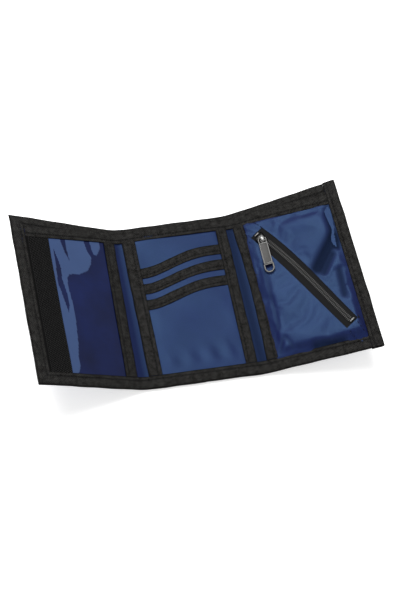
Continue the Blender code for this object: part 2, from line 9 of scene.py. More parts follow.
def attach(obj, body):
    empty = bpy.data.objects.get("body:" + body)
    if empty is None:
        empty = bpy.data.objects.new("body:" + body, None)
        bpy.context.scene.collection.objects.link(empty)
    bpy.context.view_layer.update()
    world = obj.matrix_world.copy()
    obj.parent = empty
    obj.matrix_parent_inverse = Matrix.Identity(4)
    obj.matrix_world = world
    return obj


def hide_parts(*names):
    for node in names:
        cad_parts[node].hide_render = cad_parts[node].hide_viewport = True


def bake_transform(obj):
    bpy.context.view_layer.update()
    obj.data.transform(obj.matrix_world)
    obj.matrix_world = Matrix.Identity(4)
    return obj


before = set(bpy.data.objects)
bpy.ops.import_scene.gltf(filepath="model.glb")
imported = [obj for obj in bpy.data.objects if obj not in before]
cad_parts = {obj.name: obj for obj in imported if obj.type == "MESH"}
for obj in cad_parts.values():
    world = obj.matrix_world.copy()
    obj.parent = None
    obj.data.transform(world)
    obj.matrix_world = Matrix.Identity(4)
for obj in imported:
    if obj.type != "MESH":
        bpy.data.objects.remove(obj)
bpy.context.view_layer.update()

mm = 0.001
chance = random.Random(7)

layout = {
    "panelWidth": 86.0, "height": 130.0,
    "leftRaise": 29.0, "rightRaise": 20.0,       # degrees each outer panel stands up
    "leftTwist": -1.5, "rightTwist": 3.2,        # more at the top edge, less at the bottom
    "bendHalf": 6.5, "bendLevel": 2.55,          # the cloth bends over twice this width
    "blendHalf": 10.0,
    "stretchAt": (-129.0, -43.0, 43.0, 129.0),   # across the wallet
    "stretch": (-0.005, -0.014, 0.008, 0.022),   # how much taller than the pattern it was sewn
    "foldHalf": 3.0, "tapeWidth": 9.0, "tapeThick": 0.4, "gap": 0.15,
    "mouthDrop": 4.0, "mouthDropEnd": 10.0,      # the lining's top edge below the shell's
    "windowEnd": 59.0, "mouthGape": 1.0,
    "foldShade": {-1: 0.3, 1: 0.8},              # painted shade: how much darker the lining is painted inside each fold
    "cover": 2.2,                                # a sheet's edge inside its tape
    "cell": 2.0,                                 # of the large sheets
}
foldX = layout["panelWidth"] / 2
halfHeight = layout["height"] / 2
liningTop = halfHeight - layout["mouthDrop"]
panelEnd = foldX + layout["panelWidth"]
tapeWidth, cover = layout["tapeWidth"], layout["cover"]
sides = ((-1, "left"), (1, "right"))

# heights of the middle of each layer, from the table up, and how thick each cloth is
levels = {"shell": 0.85, "lining": 2.55, "first": 2.95, "slots": (3.3, 3.65, 4.0), "hook": 2.95,
          "flange": 3.4, "pocketTop": 5.75, "zipTape": 5.3, "coil": 6.1, "back": 4.65}
thick = {"shell": 0.6, "lining": 0.3, "pocket": 0.2, "front": 0.35, "film": 0.2, "zipTape": 0.3}


def ease(share):
    share = np.clip(share, 0.0, 1.0)
    return share * share * (3.0 - 2.0 * share)


def bell(distance, width):
    return np.exp(-(distance / width) ** 2)


def through(at, places, values, degree=4):      # a smooth curve near a few set points
    return np.polyval(np.polyfit(places, values, degree), at)


def twistAt(x, y):      # radians added to an outer panel's raise
    degrees = np.where(x < 0, layout["leftTwist"], layout["rightTwist"])
    return np.radians(degrees) * y / halfHeight


def toRest(x, y, z):
    # flat pattern in millimetres to the half-open wallet in metres
    x, y, z = np.broadcast_arrays(np.asarray(x, float), np.asarray(y, float), np.asarray(z, float))
    raised = np.radians(np.where(x < 0, layout["leftRaise"], layout["rightRaise"])) + twistAt(x, y)
    half, level = layout["bendHalf"], layout["bendLevel"]
    begin = foldX - half
    past = np.abs(x) - begin
    turned = raised * np.clip(past / (2 * half), 0.0, 1.0)
    centreZ = half / np.tan(raised / 2) + level
    reach = centreZ - z
    beyond = np.maximum(past - 2 * half, 0.0)
    bentX = begin + reach * np.sin(turned) + beyond * np.cos(turned)
    bentZ = centreZ - reach * np.cos(turned) + beyond * np.sin(turned)
    flat = past < 0
    side = np.where(x < 0, -1.0, 1.0)
    newX = np.where(flat, x, side * bentX)
    newZ = np.where(flat, z, bentZ)
    stretch = np.interp(x, layout["stretchAt"], layout["stretch"])
    return np.column_stack((newX, y * (1.0 + stretch), newZ)) * mm


def mouthY(x):      # lining's taped top edge
    share = np.clip((np.abs(x) - foldX) / layout["panelWidth"], 0.0, 1.0)
    return halfHeight - layout["mouthDrop"] - (layout["mouthDropEnd"] - layout["mouthDrop"]) * share


def innerLift(x, y):
    # the layers over the note compartment gape at its mouth and pinch at the folds
    fromFold = np.abs(np.abs(x) - foldX)
    gape = layout["mouthGape"] * ease((y - 20.0) / 40.0) * (1.0 - bell(fromFold, 14.0))
    pinch = -0.5 * bell(fromFold, 2.2)
    return gape + pinch


# ---- making and finishing pieces

def pickOnly(piece):
    bpy.ops.object.select_all(action="DESELECT")
    piece.select_set(True)
    bpy.context.view_layer.objects.active = piece


def edit(piece):
    pickOnly(piece)
    bpy.ops.object.mode_set(mode="EDIT")
    bpy.ops.mesh.select_all(action="SELECT")


def leave():
    bpy.ops.object.mode_set(mode="OBJECT")


def applyAll(piece):
    pickOnly(piece)
    for modifier in list(piece.modifiers):
        bpy.ops.object.modifier_apply(modifier=modifier.name)


def readSpots(piece):
    spots = np.zeros(len(piece.data.vertices) * 3)
    piece.data.vertices.foreach_get("co", spots)
    return spots.reshape(-1, 3)


def writeSpots(piece, spots):
    piece.data.vertices.foreach_set("co", np.ascontiguousarray(spots, float).ravel())
    piece.data.update()


def clothGrid(name, alongCount, acrossCount):
    # a square of cells; gives each corner's share along and across
    bpy.ops.mesh.primitive_grid_add(x_subdivisions=alongCount, y_subdivisions=acrossCount, size=1.0)
    piece = bpy.context.object
    piece.name = piece.data.name = name
    spots = readSpots(piece)
    return piece, spots[:, 0] + 0.5, spots[:, 1] + 0.5


def layPattern(piece, u, v):
    # the weave's own map, in metres of cloth
    for layer in list(piece.data.uv_layers):
        piece.data.uv_layers.remove(layer)
    layer = piece.data.uv_layers.new(name="weave")
    corners = np.zeros(len(piece.data.loops), int)
    piece.data.loops.foreach_get("vertex_index", corners)
    pattern = np.column_stack((u, v))[corners] * mm
    layer.data.foreach_set("uv", pattern.ravel())


def shadeSpots(piece, name, values):      # a value at each vertex, for the finish to read
    holder = piece.data.attributes.new(name=name, type="FLOAT", domain="POINT")
    holder.data.foreach_set("value", np.clip(values, 0.0, 1.0).astype(np.float32))


def turnUp(piece):      # faces of a flat sheet point up
    if sum(face.normal.z for face in piece.data.polygons) < 0:
        piece.data.flip_normals()


def thicken(piece, thickness):
    wall = piece.modifiers.new("wall", "SOLIDIFY")
    wall.thickness = thickness * mm
    wall.offset = 0.0
    wall.use_even_offset = True
    applyAll(piece)


def shapeSheet(piece, x, y, z, finish, thickness, pattern=None, **shades):
    # gives a flat grid its place, its weave, any shades that its finish reads, and its thickness
    writeSpots(piece, np.column_stack((x, y, z)) * mm)
    layPattern(piece, *(pattern or (x, y)))
    for name, values in shades.items():
        shadeSpots(piece, name, values)
    piece.data.materials.append(finishes[finish])
    turnUp(piece)
    thicken(piece, thickness)


def joinTo(piece, others):
    pickOnly(piece)
    for other in others:
        other.select_set(True)
    bpy.ops.object.join()


def copies(name, shape, places, materialName):
    # shape is (corners, faces) of one small thing; each place is (origin, three axes) in mm
    corners, faces = shape
    spots, quads = [], []
    for origin, axes in places:
        start = len(spots) * len(corners)
        spots.append(np.asarray(origin) + corners @ np.asarray(axes))
        quads += [[start + corner for corner in face] for face in faces]
    mesh = bpy.data.meshes.new(name)
    mesh.from_pydata((np.concatenate(spots) * mm).tolist(), [], quads)
    piece = bpy.data.objects.new(name, mesh)
    bpy.context.scene.collection.objects.link(piece)
    piece.data.materials.append(finishes[materialName])
    mesh.uv_layers.new(name="weave")
    return piece


def shapeOf(piece):
    # takes a small thing's corners and faces, and removes the thing
    corners = readSpots(piece).copy()
    faces = [list(face.vertices) for face in piece.data.polygons]
    bpy.data.objects.remove(piece, do_unlink=True)
    return corners, faces


def settle(piece, body, nodes=(), fold=0, sheet=None, degrees=50.0, raised=True):
    # raises a flat piece to its rest place and fixes it to a body; a piece across a fold (-1 or 1) is
    # fixed to no body
    if raised:
        writeSpots(piece, toRest(*(readSpots(piece) / mm).T))
    pickOnly(piece)
    bpy.ops.object.shade_smooth_by_angle(angle=math.radians(degrees))
    if nodes:
        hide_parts(*nodes)
    if sheet:
        size, held = sheet[:2]
        extra = {"area": sheet[2] * mm * mm} if len(sheet) > 2 else {}
        size[0] * mm
        size[1] * mm
    if fold:
        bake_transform(piece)
    else:
        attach(piece, body)
    return piece


# ---- finishes

class Signal:      # one number that varies over a surface
    def __init__(self, paint, socket):
        self.paint, self.socket = paint, socket

    def use(self, operation, *others):
        return self.paint.maths(operation, self, *others)

    def __add__(self, other): return self.use("ADD", other)
    def __radd__(self, other): return self.use("ADD", other)
    def __sub__(self, other): return self.use("SUBTRACT", other)
    def __mul__(self, other): return self.use("MULTIPLY", other)
    def size(self): return self.use("ABSOLUTE")
    def waves(self, pitch): return (self * (math.pi / (pitch * mm))).use("SINE")      # pitch in mm


class Paint:
    def __init__(self, name, colour, roughness, **fixed):
        self.material = bpy.data.materials.new(name)
        self.material.use_nodes = True
        self.tree = self.material.node_tree
        self.shader = self.tree.nodes["Principled BSDF"]
        self.shader.inputs["Base Color"].default_value = (*colour, 1.0)
        self.shader.inputs["Roughness"].default_value = roughness
        for socket, value in fixed.items():
            self.shader.inputs[socket.replace("_", " ")].default_value = value

    def node(self, kind, settings=None, values=None, out=0):
        made = self.tree.nodes.new(kind)
        for key, value in (settings or {}).items():
            setattr(made, key, value)
        for key, value in (values or {}).items():
            self.feed(made.inputs[key], value)
        return made.outputs[out]

    def feed(self, socket, value):
        if isinstance(value, Signal):
            value = value.socket
        if isinstance(value, bpy.types.NodeSocket):
            self.tree.links.new(value, socket)
        else:
            socket.default_value = value

    def maths(self, operation, *terms):
        return Signal(self, self.node("ShaderNodeMath", {"operation": operation},
                                      dict(enumerate(terms))))

    def weave(self):      # the cloth's own map, with its two directions
        place = self.node("ShaderNodeUVMap", {"uv_map": "weave"})
        parts = self.tree.nodes.new("ShaderNodeSeparateXYZ")
        self.feed(parts.inputs[0], place)
        return place, Signal(self, parts.outputs[0]), Signal(self, parts.outputs[1])

    def place(self):      # the object's own place
        return self.node("ShaderNodeTexCoord", out=3)

    def noise(self, place, scale, detail=3.0, roughness=0.55):
        return Signal(self, self.node("ShaderNodeTexNoise", {}, {
            "Vector": place, "Scale": scale, "Detail": detail, "Roughness": roughness}))

    def attribute(self, name):
        return Signal(self, self.node("ShaderNodeAttribute", {"attribute_name": name}, out=2))

    def blend(self, factor, first, second):
        made = self.tree.nodes.new("ShaderNodeMix")
        made.data_type = "RGBA"
        self.feed(made.inputs[0], factor)
        for socket, colour in ((made.inputs[6], first), (made.inputs[7], second)):
            self.feed(socket, colour if isinstance(colour, bpy.types.NodeSocket) else (*colour, 1.0))
        return made.outputs[2]

    def shades(self, factor, colour, low, high):      # between a darker and a lighter shade
        return self.blend(factor, shaded(colour, low), shaded(colour, high))

    def finish(self, colour=None, rough=None, bump=None, depth=0.0, strength=1.0):
        if bump is not None:      # depth in mm for a height of 1
            bump = self.node("ShaderNodeBump", {}, {
                "Strength": strength, "Distance": depth * mm, "Height": bump})
        for socket, value in (("Base Color", colour), ("Roughness", rough), ("Normal", bump)):
            if value is not None:
                self.feed(self.shader.inputs[socket], value)
        return self.material


def shaded(colour, share):
    return tuple(channel * share for channel in colour)


def nylonFinish():
    look = {"colour": (0.0078, 0.0098, 0.0570), "satin": (0.29, 0.60, 1.0, 1.0), "pitch": 0.55,
            "roughness": 0.44}
    paint = Paint("nylonCloth", look["colour"], look["roughness"], Specular_IOR_Level=0.44,
                  Specular_Tint=look["satin"])
    place, u, v = paint.weave()
    threads = u.waves(look["pitch"]) * v.waves(look["pitch"])
    slub = paint.noise(place, 900.0, 2.0)
    soft = paint.noise(place, 45.0, 4.0)
    shade = 0.5 + (soft - 0.5) * 0.9 + (slub - 0.5) * 0.8 + threads * 0.12
    cloth = paint.shades(shade, look["colour"], 0.70, 1.30)
    # painted shade: the cloth is painted darker, and made rougher, where its vertex attribute marks a
    # fold
    crease = paint.attribute("crease")
    return paint.finish(paint.blend(crease, cloth, shaded(look["colour"], 0.30)),
                        look["roughness"] + (slub - 0.5) * 0.25 + crease * 0.45,
                        threads * 0.4 + slub * 0.5 + soft * 1.2, 0.10, 0.8)


def tapeFinish():
    look = {"colour": (0.0205, 0.0200, 0.0192), "rib": 0.9, "thread": 0.7, "roughness": 0.8}
    paint = Paint("bindingTape", look["colour"], look["roughness"], Specular_IOR_Level=0.03)
    place, u, v = paint.weave()
    ribs = u.waves(look["rib"]) * v.waves(look["thread"])
    fluff = paint.noise(place, 900.0, 3.0, 0.7)
    worn = paint.noise(place, 260.0, 4.0, 0.65)
    shade = 0.5 + (worn - 0.5) * 1.6 + (fluff - 0.5) * 1.8 + ribs * 0.25
    web = paint.shades(shade, look["colour"], 0.15, 1.9)
    # painted shade: the tape is painted near-black where its seam attribute marks the stitch groove, its
    # inner edge and the front of its fold
    return paint.finish(paint.blend(paint.attribute("seam") * 0.9, web, shaded(look["colour"], 0.10)),
                        look["roughness"] + (fluff - 0.5) * 0.3,
                        ribs * 0.6 + fluff * 1.4 + worn * 1.4, 0.26)


def plainThread(name, colour, roughness, grain=2500.0):
    paint = Paint(name, colour, roughness, Specular_IOR_Level=0.06)
    fuzz = paint.noise(paint.place(), grain, 2.0)
    return paint.finish(paint.shades(fuzz, colour, 0.6, 1.5), None, fuzz, 0.06, 0.7)


def filmFinish():
    look = {"clinging": (0.0026, 0.0072, 0.0460), "looseWithPaintedReflection": (0.038, 0.070, 0.170)}
    paint = Paint("windowFilm", look["clinging"], 0.14, Specular_IOR_Level=0.35)
    place = paint.weave()[0]
    gap = paint.attribute("airGap")
    haze = paint.noise(place, 28.0, 3.0)
    scratch = paint.noise(place, 700.0, 2.0)
    cling = paint.shades((haze - 0.5) * 2.2 + 0.5, look["clinging"], 0.62, 1.5)
    looseWithPaintedReflection = paint.shades(haze, look["looseWithPaintedReflection"], 0.85, 1.12)
    # painted reflection: the film is painted much lighter where it stands off the cloth
    return paint.finish(paint.blend(gap, cling, looseWithPaintedReflection),
                        0.12 + gap * 0.10 + (scratch - 0.5).size() * 0.15,
                        haze * 0.8 + scratch * 0.05, 0.25, 0.35)


def zipTapeFinish():
    look = {"colour": (0.0062, 0.0062, 0.0065), "wale": 0.75, "knot": 0.45}
    paint = Paint("zipTape", look["colour"], 0.8, Specular_IOR_Level=0.1)
    place, u, v = paint.weave()
    wales = u.waves(look["wale"]).size()
    fluff = paint.noise(place, 1600.0, 2.0)
    return paint.finish(paint.shades(wales * 0.6 + fluff * 0.5, look["colour"], 0.5, 2.2), None,
                        wales + v.waves(look["knot"]) * 0.3 + fluff * 0.4, 0.12, 0.9)


def coilFinish():
    colour = (0.062, 0.061, 0.060)
    paint = Paint("zipCoil", colour, 0.42, Specular_IOR_Level=0.5)
    wear = paint.noise(paint.place(), 500.0, 3.0)
    return paint.finish(paint.shades(wear, colour, 0.6, 1.6), 0.34 + wear * 0.2)


def metalFinish(name, bright, dull):
    paint = Paint(name, bright, 0.3, Metallic=1.0)
    place = paint.place()
    tarnish = paint.noise(place, 260.0, 5.0, 0.6)
    grain = paint.noise(place, 1900.0, 2.0)
    # painted highlight: convex rims, found from the surface's pointiness, are painted towards the bright
    # colour
    edges = Signal(paint, paint.node("ShaderNodeNewGeometry", out=7))
    return paint.finish(paint.blend((edges - 0.5) * 9.0 + (tarnish - 0.3) * 0.7, dull, bright),
                        0.24 + tarnish * 0.22 + (grain - 0.5) * 0.1,
                        grain * 0.3 + tarnish, 0.03, 0.5)


finishes = {
    "nylon": nylonFinish(), "tape": tapeFinish(), "film": filmFinish(), "zipTape": zipTapeFinish(),
    "coil": coilFinish(),
    # each metal's first colour is painted on its convex rims as a painted highlight, and mixed in at
    # random with its tarnish
    "metal": metalFinish("gunmetal", (0.110, 0.109, 0.107), (0.026, 0.0257, 0.0252)),
    "polished": metalFinish("polishedMetal", (0.45, 0.45, 0.44), (0.080, 0.080, 0.078)),
    "tapeThread": plainThread("tapeThread", (0.016, 0.016, 0.017), 0.6),
    "blueThread": plainThread("blueThread", (0.004, 0.006, 0.020), 0.6),
    "hookBase": plainThread("hookTape", (0.0035, 0.0035, 0.0036), 0.8, 1500.0),
    # painted highlight: the hooks are painted about ten times lighter than the strip's dark backing,
    # standing for their glints
    "hooks": plainThread("hookThreadWithPaintedGlint", (0.034, 0.034, 0.034), 0.5),
    "loops": plainThread("loopTape", (0.017, 0.017, 0.018), 0.9, 1500.0),
}
print("finishes made")


# ---- small shapes that repeat

def stitchShape():      # one raised stitch, lying along its first axis
    stitch = {"length": 1.9, "radius": 0.24}
    bpy.ops.mesh.primitive_uv_sphere_add(segments=6, ring_count=4, radius=1.0)
    ball = bpy.context.object
    edit(ball)
    bpy.ops.transform.rotate(value=math.pi / 2, orient_axis="Y", center_override=(0, 0, 0))
    bpy.ops.transform.resize(value=(stitch["length"] / 2, stitch["radius"], stitch["radius"]),
                             center_override=(0, 0, 0))
    leave()
    return shapeOf(ball)


def archShape():      # half a ring standing on its feet, for hooks and loops
    arch = {"reach": 0.38, "wire": 0.13}
    bpy.ops.mesh.primitive_torus_add(major_segments=8, minor_segments=4,
                                     major_radius=arch["reach"], minor_radius=arch["wire"])
    ring = bpy.context.object
    edit(ring)
    bpy.ops.transform.rotate(value=math.pi / 2, orient_axis="X", center_override=(0, 0, 0))
    bpy.ops.mesh.bisect(plane_co=(0, 0, 0), plane_no=(0, 0, 1), clear_inner=True, use_fill=True)
    leave()
    return shapeOf(ring)


stitchOne = stitchShape()
archOne = archShape()
sewing = {"pitch": 2.7, "sink": 0.05}


def stitchRow(name, spots, along, materialName):      # a stitch at each spot, along the seam
    axes = ((along[0], along[1], 0), (-along[1], along[0], 0), (0, 0, 1))
    return copies(name, stitchOne, [(spot, axes) for spot in spots], materialName)


def stitchLine(name, start, end, heightAt, materialName):
    start, end = np.array(start, float), np.array(end, float)
    length = np.linalg.norm(end - start)
    count = max(1, int(length / sewing["pitch"]))
    share = (np.arange(count) + 0.5) / count
    x, y = (start[i] + (end[i] - start[i]) * share for i in (0, 1))
    return stitchRow(name, np.column_stack((x, y, heightAt(x, y))), (end - start) / length,
                     materialName)


# ---- tapes

tapeLook = {"grooveShare": 0.70, "puff": 0.22, "grooveDepth": 0.30, "wave": 0.16,
            "edgeWave": 0.22, "pucker": 0.06, "cell": 1.6,
            "least": 10.0}      # mm; no tape's returned size is narrower


def waviness(seed, amount, longest=34.0):
    # a gentle irregular wave along a seam
    draw = random.Random(seed)
    waves = [(amount * (0.9 - 0.2 * i), longest / (1.0 + 0.9 * i), draw.uniform(0, 2 * math.pi))
             for i in range(4)]
    return lambda run: sum(height * np.sin(2 * math.pi * run / length + phase)
                           for height, length, phase in waves) / 2


def acrossTape(width, low, high, rearLeg):
    # stations across a folded tape: distance in from the outer edge, height, whether in front
    middle = layout["gap"] + layout["tapeThick"] / 2
    bottom, top = low - middle, high + middle
    radius = (top - bottom) / 2
    edge = layout["tapeThick"] / 2
    groove = width * tapeLook["grooveShare"]
    turn = np.linspace(-math.pi / 2, math.pi / 2, 7)
    turnIn = edge + radius - radius * np.cos(turn)
    turnHeight = (top + bottom) / 2 + radius * np.sin(turn)
    front = np.concatenate((np.linspace(edge + radius, groove - 0.9, 5)[1:],
                            groove + np.array((-0.5, -0.25, 0.0, 0.25, 0.5)),
                            np.linspace(groove + 0.9, width, 4)))
    if rearLeg:
        first = np.linspace(width, edge + radius, 8)[:-1]
    else:      # only the upper half of the turn
        first, keep = np.zeros(0), turn > -0.1
        turnIn, turnHeight, turn = turnIn[keep], turnHeight[keep], turn[keep]
    return (np.concatenate((first, turnIn, front)),
            np.concatenate((np.full(len(first), bottom), turnHeight, np.full(len(front), top))),
            np.concatenate((np.zeros(len(first), bool), turn > 0.1, np.ones(len(front), bool))))


def tapeRelief(depth, width, along, wave):
    groove = width * tapeLook["grooveShare"]
    puff = tapeLook["puff"] * np.sin(math.pi * np.clip(depth / groove, 0.0, 1.0))
    gather = np.sin(2 * math.pi * along / sewing["pitch"]) * bell(depth - groove, 1.2)
    return (puff - tapeLook["grooveDepth"] * bell(depth - groove, 0.32)
            + tapeLook["pucker"] * gather + wave(along))


def makeTape(name, start, end, inward, width, low, high, rearLeg=True, mitres=(0.0, 0.0),
             edgeAt=None, lift=None, bow=None, seed=1, rearStitches=False):
    # a folded tape whose outer edge runs from start to end; edgeAt(x) gives a curved edge's y
    start, end, inward = (np.array(p, float) for p in (start, end, inward))
    length = np.linalg.norm(end - start)
    along = (end - start) / length
    groove = width * tapeLook["grooveShare"]
    depths, heights, onFront = acrossTape(width, low, high, rearLeg)
    cells = max(8, int(length / tapeLook["cell"]))
    piece, s, t = clothGrid(name, cells, len(depths) - 1)
    station = np.rint(t * (len(depths) - 1)).astype(int)
    depth = depths[station]
    begin, finish = mitres[0] * depth, length - mitres[1] * depth
    run = begin + (finish - begin) * s
    wave = waviness(seed, tapeLook["wave"])
    edgeWave = waviness(seed + 50, tapeLook["edgeWave"], 60.0)

    def flat(run, depth, height, front):
        x = start[0] + along[0] * run + inward[0] * depth
        y = start[1] + along[1] * run + inward[1] * depth
        if edgeAt is not None:
            y = edgeAt(x) + inward[1] * depth
        aside = edgeWave(run) * ease(1.0 - depth / width)
        if bow is not None:
            aside = aside - bow(run / length)
        x, y = x + inward[0] * aside, y + inward[1] * aside
        z = height + np.where(front, tapeRelief(depth, width, run, wave), 0.25 * wave(run))
        return np.column_stack((x, y, z if lift is None else z + lift(x, y)))

    writeSpots(piece, flat(run, depth, heights[station], onFront[station]) * mm)
    travel = np.concatenate(([0.0], np.cumsum(np.hypot(np.diff(depths), np.diff(heights)))))
    layPattern(piece, run, travel[station])
    # painted shade: marks the stitch groove, the inner edge against the cloth and the front of the fold
    # to be painted darker
    shadeSpots(piece, "seam", bell(depth - groove, 0.45) + ease((depth - width + 0.75) / 0.75)
               + 0.8 * ease((1.1 - depth) / 0.8) * onFront[station])
    piece.data.materials.append(finishes["tape"])
    thicken(piece, layout["tapeThick"])
    seam = length - sum(mitres) * groove
    count = max(1, int(seam / sewing["pitch"]))
    places = mitres[0] * groove + (np.arange(count) + 0.5) * seam / count
    middle = layout["tapeThick"] / 2
    rise = np.array((0, 0, middle + sewing["sink"]))
    spots = flat(places, groove, high + layout["gap"] + middle, True) + rise
    if rearStitches:      # these lie sunk in the tape
        spots = np.concatenate((spots, flat(places, groove, low - layout["gap"] - middle, False)))
    joinTo(piece, [stitchRow(name + "Stitches", spots, along, "tapeThread")])
    return piece, (max(travel[-1], tapeLook["least"]), length)


# ---- shell and lining, each in two halves that meet in the middle of the centre panel

def foldNodes(side, prefix, node):      # a left piece also stands for the centre panel's node
    centre = (f"centre_{node}",) if side < 0 else ()
    return (*centre, f"{prefix}_fold_{node}", f"{prefix}_{node}")


def shellSag(x, y):
    # between its tapes the shell sags to the table, and its cloth is never quite flat
    inside = ease((halfHeight - tapeWidth - np.abs(y)) / 6.0)
    centre = ease((foldX - 2.0 - np.abs(x)) / 8.0)
    ripple = 0.25 * np.sin(x / 9.0 + 1.3 * np.sin(y / 23.0)) * np.sin(y / 17.0 + 0.8)
    return inside * (-0.5 * centre + ripple * (1 - centre))


def liningRipple(x, y):
    ripple = 0.12 * np.sin(x / 7.0 + 1.1 * np.sin(y / 19.0)) * np.sin(y / 13.0)
    return innerLift(x, y) + ripple


sheets = {"shell": {"top": lambda x: halfHeight, "lift": shellSag, "height": 129.0},
          "lining": {"top": mouthY, "lift": liningRipple, "height": 125.0}}
for side, prefix in sides:
    for node, cut in sheets.items():
        far, low = panelEnd - cover, -halfHeight + cover
        piece, s, t = clothGrid(prefix + node.title(), int(far / layout["cell"]),
                                int(2 * halfHeight / layout["cell"]))
        x = side * far * s
        y = low + (cut["top"](x) - cover - low) * t
        # painted shade: each sheet is marked to be painted darker near its fold line
        shapeSheet(piece, x, y, levels[node] + cut["lift"](x, y), "nylon", thick[node],
                   crease=layout["foldShade"][side] * bell(x - side * foldX, 5.0))
        settle(piece, None, foldNodes(side, prefix, node), fold=side,
               sheet=((panelEnd, cut["height"]), "folded"))
print("shell and lining made")

stackTop = {"left": 3.05, "right": 3.55, "centre": 4.1}
edging = {"low": 0.55, "shellTop": 1.15, "liningLow": 2.4, "liningTop": 3.05, "rear": 0.35,
          "over": 0.6,                     # the right edge tape covers the top tapes' ends
          "dropFrom": 58.0, "dropOver": 5.5, "drop": 0.5}


def bottomTop(x):      # the bottom tape covers more layers over the card block
    block = ease((foldX - 1.5 - np.abs(x)) / 3.0)
    outer = np.where(x < 0, stackTop["left"], stackTop["right"])
    return block * stackTop["centre"] + (1 - block) * outer


for side, prefix in sides:
    stack, rear = stackTop[prefix], edging["rear"]
    mitre = 1.0 if side < 0 else 0.0
    short = side * (panelEnd - tapeWidth - 0.05)
    far = side * panelEnd if side < 0 else short
    sewn = {"mitres": (0.0, mitre), "rearStitches": True}
    for name, node, edge, end, low, high, seed, options in (
            ("ShellTop", "shell_top", halfHeight, far, edging["low"], edging["shellTop"], 3, sewn),
            ("LiningTop", "lining_top", liningTop, short, edging["liningLow"], edging["liningTop"],
             9, {"edgeAt": mouthY, "lift": innerLift}),
            ("Bottom", "bottom", -halfHeight, far, edging["low"], stack, 15, sewn)):
        tape, size = makeTape(f"{prefix}{name}Tape", (0, edge), (end, edge),
                              (0, -1 if edge > 0 else 1), tapeWidth, low, high, seed=seed + side,
                              **options)
        if node == "bottom":      # its front leg climbs over the card block
            spots = readSpots(tape) / mm
            share = np.clip((spots[:, 2] - rear) / (stack - rear), 0.0, 1.0)
            spots[:, 2] += (bottomTop(spots[:, 0]) - stack) * share
            writeSpots(tape, spots * mm)
        settle(tape, None, foldNodes(side, prefix, node + "_binding"), fold=side,
               sheet=(size, "folded"))
    edge, reach = side * panelEnd, halfHeight - 0.2 * mitre
    tape, size = makeTape(prefix + "EdgeTape", (edge, -reach), (edge, reach), (-side, 0), tapeWidth,
                          edging["low"], stack + (0.0 if side < 0 else edging["over"]),
                          mitres=(mitre, mitre), seed=21 + side, rearStitches=True)
    spots = readSpots(tape) / mm      # past the lining's mouth only the shell is inside it
    past = ease((spots[:, 1] - edging["dropFrom"]) / edging["dropOver"])
    above = np.maximum(spots[:, 2] - rear, 0.0)
    spots[:, 2] -= above * edging["drop"] * past
    writeSpots(tape, spots * mm)
    settle(tape, f"{prefix}_panel", (f"{prefix}_edge_binding",),
           sheet=(size, "folded"))
print("edge tapes made")


# ---- card block on the centre panel

block = {"leftTape": 10.0, "rightTape": 8.8, "mouth": 34.8, "pitch": 13.0, "slope": 0.186,
         "tapeWidth": 8.4, "wavePlaces": (-31, -16, 3, 14, 32), "waveRise": (0, -0.5, 2.1, 2.4, 0),
         "tuck": 1.0, "width": 79.0, "height": 125.0, "sideLow": 2.95, "sideHigh": 4.35,
         "lean": 0.9}      # of the right tape, which isn't sewn quite straight
blockHalf = foldX - layout["foldHalf"]
sideLow, sideTop = -halfHeight + tapeWidth + 0.2, liningTop - tapeWidth - 0.2


def pocketBow(x):      # slot mouths sag near one side tape and bow up towards the other
    return through(np.clip(x, -31.0, 32.0), block["wavePlaces"], block["waveRise"])


def blockLift(x, y):
    soft = 0.35 * np.sin(x / 11.0 + 0.6) * np.sin(y / 15.0) + 0.2 * np.sin((x + 2.2 * y) / 12.0)
    inside = ease((blockHalf - 9.0 - np.abs(x)) / 8.0) * ease((y + 54.0) / 10.0)
    pleats = 0.45 * np.sin((x * 0.9 + y * 0.35) / 2.1) * bell(y + 50.0 - 0.15 * x, 9.0)
    return innerLift(x, y) + inside * (0.9 * soft + pleats)


def blockSheet(name, rows, top, level, node, height, slack=lambda x, y: 0.0, shift=(3.0, 0.0)):
    piece, s, t = clothGrid(name, 40 if node == "block_backing" else 44, rows)
    low = -halfHeight + cover
    x = (s - 0.5) * 2 * (blockHalf - cover)
    y = low + t * (top(x) - low)
    shapeSheet(piece, x, y, level + blockLift(x, y) + slack(x, y), "nylon", thick["pocket"],
               (x + shift[0], y + shift[1]))
    settle(piece, "centre_panel", (f"card_{node}",),
           sheet=((block["width"], height), "laid"))


blockSheet("cardBacking", 62, lambda x: liningTop - cover, levels["first"], "block_backing",
           block["height"])
for i, name in enumerate(("Rear", "Middle", "Front")):
    mouth, level = block["mouth"] - i * block["pitch"], levels["slots"][i]
    top = lambda x: mouth - cover + block["slope"] * x + pocketBow(x)
    slack = lambda x, y: 0.35 * bell(top(x) - y - 16.0, 12.0) * np.cos(math.pi * x / 80.0)
    blockSheet("cardPocket" + name, int((mouth + halfHeight) / 1.8), top, level,
               "pocket_" + name.lower(), mouth + halfHeight, slack, (1.7 * i, 0.9 * i))
    start = -blockHalf + block["leftTape"] - block["tuck"]
    end = blockHalf - block["rightTape"] + block["tuck"]
    tape, size = makeTape("slotTape" + name, (start, mouth + block["slope"] * start),
                          (end, mouth + block["slope"] * end), (0.0, -1.0), block["tapeWidth"],
                          level - 0.1, level + 0.1, rearLeg=False, lift=blockLift,
                          bow=lambda share: pocketBow(start + (end - start) * share), seed=31 + 3 * i)
    settle(tape, "centre_panel", ("card_slot_binding_" + name.lower(),),
           sheet=(size, "laid"))

for side, prefix in sides:
    edge, lean = side * blockHalf, block["lean"] if side > 0 else 0.0
    tape, size = makeTape("blockTape" + prefix.title(), (edge - lean, sideLow),
                          (edge + lean, sideTop), (-side, 0), block[prefix + "Tape"],
                          block["sideLow"], block["sideHigh"], rearLeg=False, lift=blockLift,
                          seed=45 + side)
    settle(tape, "centre_panel", ("card_block_binding_" + prefix,),
           sheet=(size, "laid"))
print("card block made")


# ---- window and hook strip on the left panel

